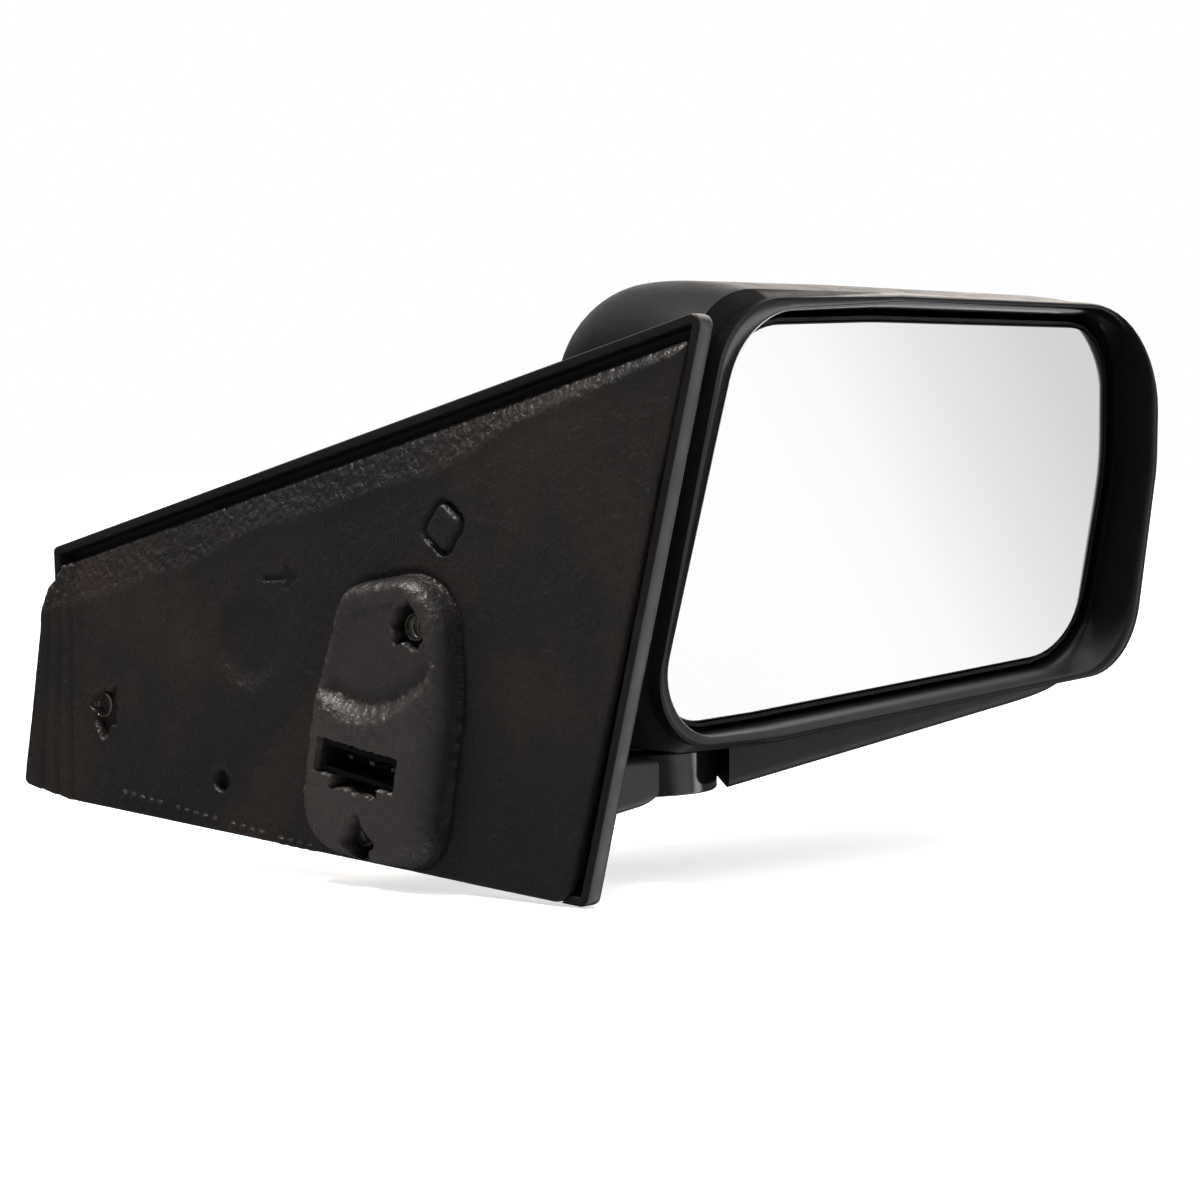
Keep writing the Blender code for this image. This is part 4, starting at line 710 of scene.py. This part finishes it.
def lumps(points, size, seed):
    """Smooth value noise from -1 to 1 with features of about the given size."""
    grid = np.random.RandomState(seed).uniform(-1, 1, (256, 256))
    u, v = points[:, 0] / size + 100.0, points[:, 1] / size + 100.0
    iu, iv = np.floor(u).astype(int), np.floor(v).astype(int)
    fu, fv = u - iu, v - iv
    fu, fv = fu * fu * (3 - 2 * fu), fv * fv * (3 - 2 * fv)
    a, b = grid[iu % 256, iv % 256], grid[(iu + 1) % 256, iv % 256]
    c, d = grid[iu % 256, (iv + 1) % 256], grid[(iu + 1) % 256, (iv + 1) % 256]
    return (a * (1 - fu) + b * fu) * (1 - fv) + (c * (1 - fu) + d * fu) * fv


def resampled(points, count):
    """Points at equal spacing along a polyline."""
    points = np.array(points)
    along = np.concatenate(([0], np.cumsum(np.hypot(*np.diff(points, axis=0).T))))
    at = np.linspace(0, along[-1], count)
    return np.stack([np.interp(at, along, points[:, k]) for k in (0, 1)], 1)


ACROSS, UP = 470, 250     # cells of the gasket's surface along it and up it
BAND_Y = (-0.1256, -0.0770, -0.0520, -0.0160, 0.0050, 0.0410, 0.0700, 0.0900)
BAND_WIDTH = (3.0, 5.2, 10.2, 10.6, 9.0, 12.8, 12.5, 12.0)    # mm below the top edge
TORN = (((0.0660, 0.0004), 0.0046), ((-0.0472, 0.0262), 0.0043), ((-0.0326, -0.0252), 0.0041))
RIDGES = ((0.0805, 0.0810, 0.0007), (0.0855, 0.0843, 0.0007), (0.0910, 0.0872, 0.0007))
MM = 0.001
SKIN_ROUND = 0.0013       # rounding of the skin's outer edge
HOLE_FLOOR = -0.0044      # depth of every hole

TOP_POINT, TOP_SLOPE = (0.0844, 0.0371), -0.2638    # of the top edge
BAND_SINK, BAND_RIDGE, RIDGE_WIDTH = 0.0020, 0.0004, 2.2      # the last one in mm
DISH_PLACE, DISH_SINK, DISH_EDGE = (0.0133, 0.0199), 0.0013, (0.0072, 0.0128)
BLOCK_RUN, BLOCK_GROOVE = 0.0062, 0.0007    # width of the block's flank, depth of the groove round it
STEP_PLACE, STEP_HALF, STEP_RISE = (-0.0345, 0.0035), 0.0165, 0.0062    # the block's curved step
STEP_SINK, STEP_EDGE = 0.0026, (-0.0012, 0.0040)
GROOVE_SINK, RIDGE_EDGE = 0.00045, (-0.0006, 0.0003)
LUG_ROUND, LUG_RISE, LUG_MOAT = 0.0016, 0.0006, 0.0022
PIN_PLACE, PIN_EDGE, PIN_COLLAR = (0.0226, -0.0154), (0.0020, 0.0027), 0.0003

SLOT_ROOM, SLOT_EDGE = (0.0004, 0.0002), (-0.0003, 0.0005)
TEAR_PLACE, TEAR_HALF = (-0.0002, -0.0034), (0.0072, 0.0030)
CURL_PLACE, CURL_WIDTH, CURL_HEIGHT = 0.0009, 0.0008, 0.00030

ARROW_PLACE, ARROW_TURN, ARROW_SINK = (0.0015, 0.0363), math.radians(-4.0), 0.00095
SHAFT_MIDDLE, SHAFT_HALF = 1.8, (4.2, 0.75)         # mm
TIP, TIP_BASE, TIP_SPREAD = -6.0, -1.6, 0.72        # mm, mm, half width per length
ARROW_EDGE = (-0.25, 0.20)                          # mm
PIPS, PIP_GAPS, PIP_RISE, PIP_EDGE = 21, (5, 11, 16), 0.00070, (0.0009, 0.0016)
PIP_ENDS = ((0.0589, -0.0216), (-0.0085, -0.0301))


def gasket_grid(steps):
    ring = rounded(FOAM_CORNERS, steps)
    size = steps + 1
    turns = [size * k + steps // 2 for k in (0, 2, 4, 5)]
    sides = [ring[turns[0]:turns[1] + 1], ring[turns[1]:turns[2] + 1], ring[turns[2]:turns[3] + 1],
             ring[turns[3]:] + ring[:turns[0] + 1]]
    bottom = resampled(sides[0], ACROSS + 1)
    top = resampled(sides[2], ACROSS + 1)[::-1]
    right = resampled(sides[1], UP + 1)
    left = resampled(sides[3], UP + 1)[::-1]
    u = np.linspace(0, 1, ACROSS + 1)[None, :, None]
    v = np.linspace(0, 1, UP + 1)[:, None, None]
    ruled = (1 - v) * bottom[None] + v * top[None] + (1 - u) * left[:, None] + u * right[:, None]
    corners = ((1 - u) * (1 - v) * bottom[0] + u * (1 - v) * bottom[-1]
               + (1 - u) * v * top[0] + u * v * top[-1])
    return ruled - corners, ring


def torn_hole(points, rise, centre, radius, seed):
    """Sinks a hole whose edge is ragged, with a few tears running out of it."""
    arm = points - np.array(centre)
    reach = np.hypot(arm[:, 0], arm[:, 1])
    angle = np.arctan2(arm[:, 1], arm[:, 0])
    rng = np.random.RandomState(seed)
    edge = np.full(len(points), radius)
    for k in range(2, 9):
        edge += radius * 0.055 * math.sqrt(4 / k) * np.sin(k * angle + rng.uniform(0, 6.28)) * 0.8
    for k in range(5):
        at = rng.uniform(-math.pi, math.pi)
        gap = np.abs((angle - at + math.pi) % (2 * math.pi) - math.pi)
        edge += radius * rng.uniform(0.10, 0.42) * np.exp(-(gap / rng.uniform(0.16, 0.34)) ** 2)
    curl = bump(reach - edge, CURL_PLACE, CURL_WIDTH) * CURL_HEIGHT
    low, high = edge + RIDGE_EDGE[0], edge + RIDGE_EDGE[1]
    return HOLE_FLOOR + (rise + curl - HOLE_FLOOR) * soft_step(reach, low, high)


def flat_rise(points, fine):
    """The skin's grain, the band pressed in under the top edge, and the round dish."""
    y, z = points[:, 0], points[:, 1]
    drop = (TOP_POINT[1] + TOP_SLOPE * (y - TOP_POINT[0]) - z) / MM
    band = np.interp(y, BAND_Y, BAND_WIDTH) + 1.0 * lumps(points, 0.012, 5)
    lean = np.clip(1 - drop / band, 0, 1)
    rise = lumps(points, 0.016, 3) * 0.00015
    rise = rise + fine * (0.00003 + 0.00020 * soft_step(lean, -0.05, 0.25))
    rise -= BAND_SINK * lean ** 1.5
    rise += BAND_RIDGE * bump(drop, band, RIDGE_WIDTH)
    return rise - DISH_SINK * (1 - soft_step(distance(points, DISH_PLACE), *DISH_EDGE))


def block_rise(points, rise, fine):
    """The raised block, with a curved step across it and a groove round it."""
    y, z = points[:, 0], points[:, 1]
    block = depth_inside(points, rounded(BLOCK_CORNERS, 10))
    swell = np.clip((block + 0.0003 + 0.0003 * lumps(points, 0.006, 4)) / BLOCK_RUN, 0, 1)
    height = -BLOCK_X * np.sqrt(1 - (1 - swell) ** 2)
    crest = z - (STEP_PLACE[1] + STEP_RISE * ((y - STEP_PLACE[0]) / STEP_HALF) ** 2)
    inner = soft_step(block, 0.0012, 0.0065)
    height -= inner * STEP_SINK * soft_step(crest, *STEP_EDGE)
    height -= inner * 0.0008 * bump(crest, 0.0046, 0.0022)
    height += 0.0005 * inner * bump(crest, -0.0018, 0.0022)
    glints = bump(crest, 0.0002, 0.0050) + bump(block, 0.0022, 0.0030)
    height += fine * 0.00034 * np.clip(glints, 0, 1.2) * soft_step(block, -0.0010, 0.0010)
    rise = np.where(swell > 0, rise * (1 - swell) + height, rise)
    return rise - BLOCK_GROOVE * bump(block, -0.0007, 0.0008)


def ridges(points, rise):
    """Steps down the front end, each with a groove in front of it."""
    y, z = points[:, 0], points[:, 1]
    low, high = FOAM_CORNERS[2][1], FOAM_CORNERS[3][1]
    for y_low, y_high, step in RIDGES:
        line = y_low + (y_high - y_low) * (z - low) / (high - low)
        rise = rise + step * soft_step(y - line, *RIDGE_EDGE)
        rise -= GROOVE_SINK * bump(y - line, -0.0009, 0.0005)
    return rise


def lug(points, rise):
    """The square lug in its moat."""
    arm = points - np.array(LUG_PLACE)
    arm = np.stack([arm[:, 0] * math.cos(LUG_TURN) + arm[:, 1] * math.sin(LUG_TURN),
                    arm[:, 1] * math.cos(LUG_TURN) - arm[:, 0] * math.sin(LUG_TURN)], 1)
    inside = depth_inside(arm, rounded(rectangle(*LUG_SIZE, LUG_ROUND), 6))
    inside += 0.0002 * lumps(points, 0.002, 6)
    rise = rise + LUG_RISE * soft_step(inside, -0.0002, 0.0006)
    moat = soft_step(inside, -0.0018, -0.0012) * (1 - soft_step(inside, -0.0006, 0.0001))
    return rise - LUG_MOAT * moat


def pin_hole(points, rise):
    away = distance(points, PIN_PLACE)
    rise = rise + PIN_COLLAR * bump(away, 0.0033, 0.0007)
    return rise + HOLE_FLOOR * (1 - soft_step(away, *PIN_EDGE))


def marks(points, rise):
    """A plain arrow, sunk, and a row of plain pips, raised."""
    arm = (points - np.array(ARROW_PLACE)) / MM
    u = arm[:, 0] * math.cos(ARROW_TURN) + arm[:, 1] * math.sin(ARROW_TURN)
    v = -arm[:, 0] * math.sin(ARROW_TURN) + arm[:, 1] * math.cos(ARROW_TURN)
    shaft = np.minimum(SHAFT_HALF[0] - np.abs(u - SHAFT_MIDDLE), SHAFT_HALF[1] - np.abs(v))
    head = np.minimum(u - TIP, TIP_BASE - u)
    head = np.minimum(head, (u - TIP) * TIP_SPREAD - np.abs(v))
    rise = rise - ARROW_SINK * soft_step(np.maximum(shaft, head), *ARROW_EDGE)
    first, last = (np.array(end) for end in PIP_ENDS)
    for k in range(PIPS):
        if k not in PIP_GAPS:
            away = distance(points, first + (last - first) * k / (PIPS - 1))
            rise = rise + PIP_RISE * (1 - soft_step(away, *PIP_EDGE))
    return rise


def torn_slot(points, rise):
    """The connector's slot, ragged along its lower edge."""
    arm = points - np.array(SOCKET_PLACE)
    along = arm[:, 0] * math.cos(SOCKET_TILT) + arm[:, 1] * math.sin(SOCKET_TILT)
    over = -arm[:, 0] * math.sin(SOCKET_TILT) + arm[:, 1] * math.cos(SOCKET_TILT)
    ragged = 0.00045 * lumps(points, 0.0013, 8) + 0.0004 * lumps(points, 0.0040, 9)
    wide, tall = (size / 2 + room for size, room in zip(SOCKET_SIZE, SLOT_ROOM))
    slot = np.minimum(wide - np.abs(along), tall - np.abs(over)) + 0.25 * ragged
    tear = np.minimum(TEAR_HALF[0] - np.abs(along - TEAR_PLACE[0]),
                      TEAR_HALF[1] - np.abs(over - TEAR_PLACE[1])) + ragged
    slot = np.maximum(slot, tear)
    return HOLE_FLOOR + (rise - HOLE_FLOOR) * (1 - soft_step(slot, *SLOT_EDGE))


def gasket_rise(points, ring):
    """Height of the gasket's skin above its flat face at each (y, z)."""
    fine = lumps(points @ np.array([[1.5, 0.2], [-0.5, 0.8]]), 0.0013, 1)
    fine += 0.6 * lumps(points @ np.array([[1.2, -0.3], [0.3, 0.9]]), 0.0008, 2)
    rise = block_rise(points, flat_rise(points, fine), fine)
    for feature in (ridges, lug, pin_hole, marks, torn_slot):
        rise = feature(points, rise)
    for i, (centre, radius) in enumerate(TORN):
        rise = torn_hole(points, rise, centre, radius, 20 + i)
    edge = np.clip(1 - depth_inside(points, ring) / SKIN_ROUND, 0, 1)
    return rise - SKIN_ROUND * (1 - np.sqrt(1 - edge ** 2 * 0.98))


PLUG_LAP = 0.0004         # how far the gasket's plug laps into its skin


def gasket():
    grid, ring = gasket_grid(12)
    points = grid.reshape(-1, 2)
    rise = gasket_rise(points, ring)
    wide = ACROSS + 1
    back = LOW_RIM_X - GAP
    bm = bmesh.new()
    front = [bm.verts.new((-r, y, z)) for r, (y, z) in zip(rise, points)]
    for row in range(UP):
        for k in range(ACROSS):
            a = row * wide + k
            bm.faces.new((front[a], front[a + 1], front[a + wide + 1], front[a + wide]))
    rim = [k for k in range(wide)] + [row * wide + ACROSS for row in range(1, UP + 1)]
    rim += [UP * wide + k for k in range(ACROSS - 1, -1, -1)]
    rim += [row * wide for row in range(UP - 1, 0, -1)]
    low = [bm.verts.new((back, *front[k].co[1:])) for k in rim]
    for i, k in enumerate(rim):
        j = (i + 1) % len(rim)
        bm.faces.new((front[k], low[i], low[j], front[rim[j]]))
    bm.faces.new(low)
    plug = rounded(inset(COVER_CORNERS, COVER_WALL + GROOVE), 6)
    near = [bm.verts.new(p) for p in across_x(plug, back - PLUG_LAP)]
    far = [bm.verts.new(p) for p in across_x(plug, FOAM_BACK_X)]
    for i in range(len(near)):
        j = (i + 1) % len(near)
        bm.faces.new((near[i], near[j], far[j], far[i]))
    bm.faces.new(near)
    bm.faces.new(far)
    bmesh.ops.recalc_face_normals(bm, faces=bm.faces)
    piece = mesh_of("gasket", bm)
    finish(piece, "base", ["foam"], ["foam_gasket"], 75.0)


# ---- Pieces that keep their CAD shape --------------------------------------------------------------
KEPT = {
    "base_bracket": "cast", "connector_housing": "black", "connector_terminal_": "steel",
    "cover_screw_": "steel", "pivot_post": "steel", "detent_ring": "steel",
    "spring_washer": "steel", "pivot_retainer": "steel", "base_harness": "wire",
    "head_frame": "grey", "detent_cup": "grey", "pivot_spring": "spring",
    "actuator_case_": "black", "pan_motor": "steel", "tilt_motor": "steel",
    "actuator_screw_": "steel", "shell_screw_": "steel", "pan_pin_": "steel",
    "head_harness": "wire", "actuator_plug": "grey", "gimbal_ring": "grey", "tilt_pin_": "steel",
    "adhesive_pad": "pad", "glass_holder": "black", "pan_jack_gear": "nylon",
    "tilt_jack_gear": "nylon", "pan_jack_screw": "acetal", "tilt_jack_screw": "acetal",
    "pan_worm": "brass", "tilt_worm": "brass",
}
for node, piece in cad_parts.items():
    for start, look in KEPT.items():
        if node.startswith(start):
            piece.data.materials.clear()
            piece.data.materials.append(LOOKS[look])

housing()
lip()
pane()
column()
cover()
inserts()
gasket()


# ---- Studio ----------------------------------------------------------------------------------------
def stage_material(name, colour, roughness):
    made = bpy.data.materials.new(name)
    made.use_nodes = True
    shader = made.node_tree.nodes["Principled BSDF"]
    shader.inputs["Base Color"].default_value = (*colour, 1.0)
    shader.inputs["Roughness"].default_value = roughness
    shader.inputs["Specular IOR Level"].default_value = 0.0
    return made


FLOOR_DROP, FLOOR_HALF, FLOOR_GLOW = 0.0004, 6.0, 0.62


def floor():
    level, half = cad_box[0][2] - FLOOR_DROP, FLOOR_HALF
    bm = bmesh.new()
    bm.faces.new([bm.verts.new(p) for p in ((-half, -half, level), (half, -half, level),
                                            (half, half, level), (-half, half, level))])
    piece = mesh_of("floor", bm)
    pale = stage_material("pale_floor", (0.92, 0.92, 0.92), 1.0)
    glow = pale.node_tree.nodes["Principled BSDF"]
    glow.inputs["Emission Color"].default_value = (1.0, 1.0, 1.0, 1.0)
    glow.inputs["Emission Strength"].default_value = FLOOR_GLOW
    piece.data.materials.append(pale)
    piece.visible_glossy = False


def lamp(name, place, aim, size, power, colour):
    data = bpy.data.lights.new(name, "AREA")
    data.shape = "RECTANGLE"
    data.size = size
    data.size_y = size
    data.energy = power
    data.color = colour
    light = bpy.data.objects.new(name, data)
    bpy.context.collection.objects.link(light)
    light.location = place
    light.rotation_euler = (Vector(aim) - Vector(place)).to_track_quat("-Z", "Y").to_euler()


def sky_light(name, direction, power, spread):
    data = bpy.data.lights.new(name, "SUN")
    data.energy = power
    data.angle = math.radians(spread)
    light = bpy.data.objects.new(name, data)
    bpy.context.collection.objects.link(light)
    light.rotation_euler = Vector(direction).to_track_quat("-Z", "Y").to_euler()


WALLS = (                 # share of a turn round the object, and how bright the wall is there
    (0.00, 0.04), (0.27, 0.15), (0.31, 1.02), (0.3505, 1.02), (0.3565, 0.84), (0.364, 0.67),
    (0.372, 0.60), (0.380, 3.4), (0.403, 3.4), (0.42, 0.15), (0.55, 0.08), (1.00, 0.04),
)
BEHIND = ((0.48, 0.0), (0.54, 1.0), (0.612, 1.0), (0.640, 0.10), (0.70, 0.0))
CEILING = (2.6, 2.35, 2.15)                 # over the walls where BEHIND is 1


def studio_world():
    """White behind the object, and a soft room with one bright wall in reflections."""
    world = bpy.data.worlds.new("studio")
    world.use_nodes = True
    bpy.context.scene.world = world
    nodes, links = world.node_tree.nodes, world.node_tree.links
    nodes.clear()
    spot = nodes.new("ShaderNodeTexCoord")
    split = nodes.new("ShaderNodeSeparateXYZ")
    links.new(spot.outputs["Generated"], split.inputs[0])
    turn = nodes.new("ShaderNodeMath")
    turn.operation = "ARCTAN2"
    links.new(split.outputs["Y"], turn.inputs[0])
    links.new(split.outputs["X"], turn.inputs[1])
    scale = nodes.new("ShaderNodeMapRange")
    scale.inputs["From Min"].default_value = -math.pi
    scale.inputs["From Max"].default_value = math.pi
    lean = nodes.new("ShaderNodeMath")
    lean.operation = "MULTIPLY_ADD"
    lean.inputs[1].default_value = 0.5
    links.new(split.outputs["Z"], lean.inputs[0])
    links.new(turn.outputs[0], lean.inputs[2])
    links.new(lean.outputs[0], scale.inputs["Value"])
    walls = nodes.new("ShaderNodeValToRGB")
    links.new(scale.outputs[0], walls.inputs["Fac"])
    room = nodes.new("ShaderNodeBackground")
    high = nodes.new("ShaderNodeMapRange")
    high.interpolation_type = "SMOOTHSTEP"
    high.inputs["From Min"].default_value = 0.015
    high.inputs["From Max"].default_value = 0.10
    links.new(split.outputs["Z"], high.inputs["Value"])
    behind = nodes.new("ShaderNodeValToRGB")
    links.new(scale.outputs[0], behind.inputs["Fac"])
    share = nodes.new("ShaderNodeMath")
    share.operation = "MULTIPLY"
    links.new(high.outputs[0], share.inputs[0])
    links.new(filled(behind, BEHIND), share.inputs[1])
    above = nodes.new("ShaderNodeMix")
    above.data_type = "RGBA"
    links.new(share.outputs[0], above.inputs[0])
    links.new(filled(walls, WALLS), above.inputs[6])
    above.inputs[7].default_value = (*CEILING, 1.0)
    links.new(above.outputs[2], room.inputs["Color"])
    white = nodes.new("ShaderNodeBackground")
    white.inputs["Color"].default_value = (1.0, 1.0, 1.0, 1.0)
    path = nodes.new("ShaderNodeLightPath")
    mix = nodes.new("ShaderNodeMixShader")
    links.new(path.outputs["Is Camera Ray"], mix.inputs[0])
    links.new(room.outputs[0], mix.inputs[1])
    links.new(white.outputs[0], mix.inputs[2])
    out = nodes.new("ShaderNodeOutputWorld")
    links.new(mix.outputs[0], out.inputs["Surface"])


floor()
studio_world()
sky_light("overhead", (-0.25, -0.35, -1.0), 1.3, 110.0)
lamp("skin_light", (-0.17, 0.10, 0.78), (-0.01, 0.0, 0.03), 0.16, 6.0, (1.0, 0.95, 0.90))
bpy.context.scene.view_settings.view_transform = "Standard"
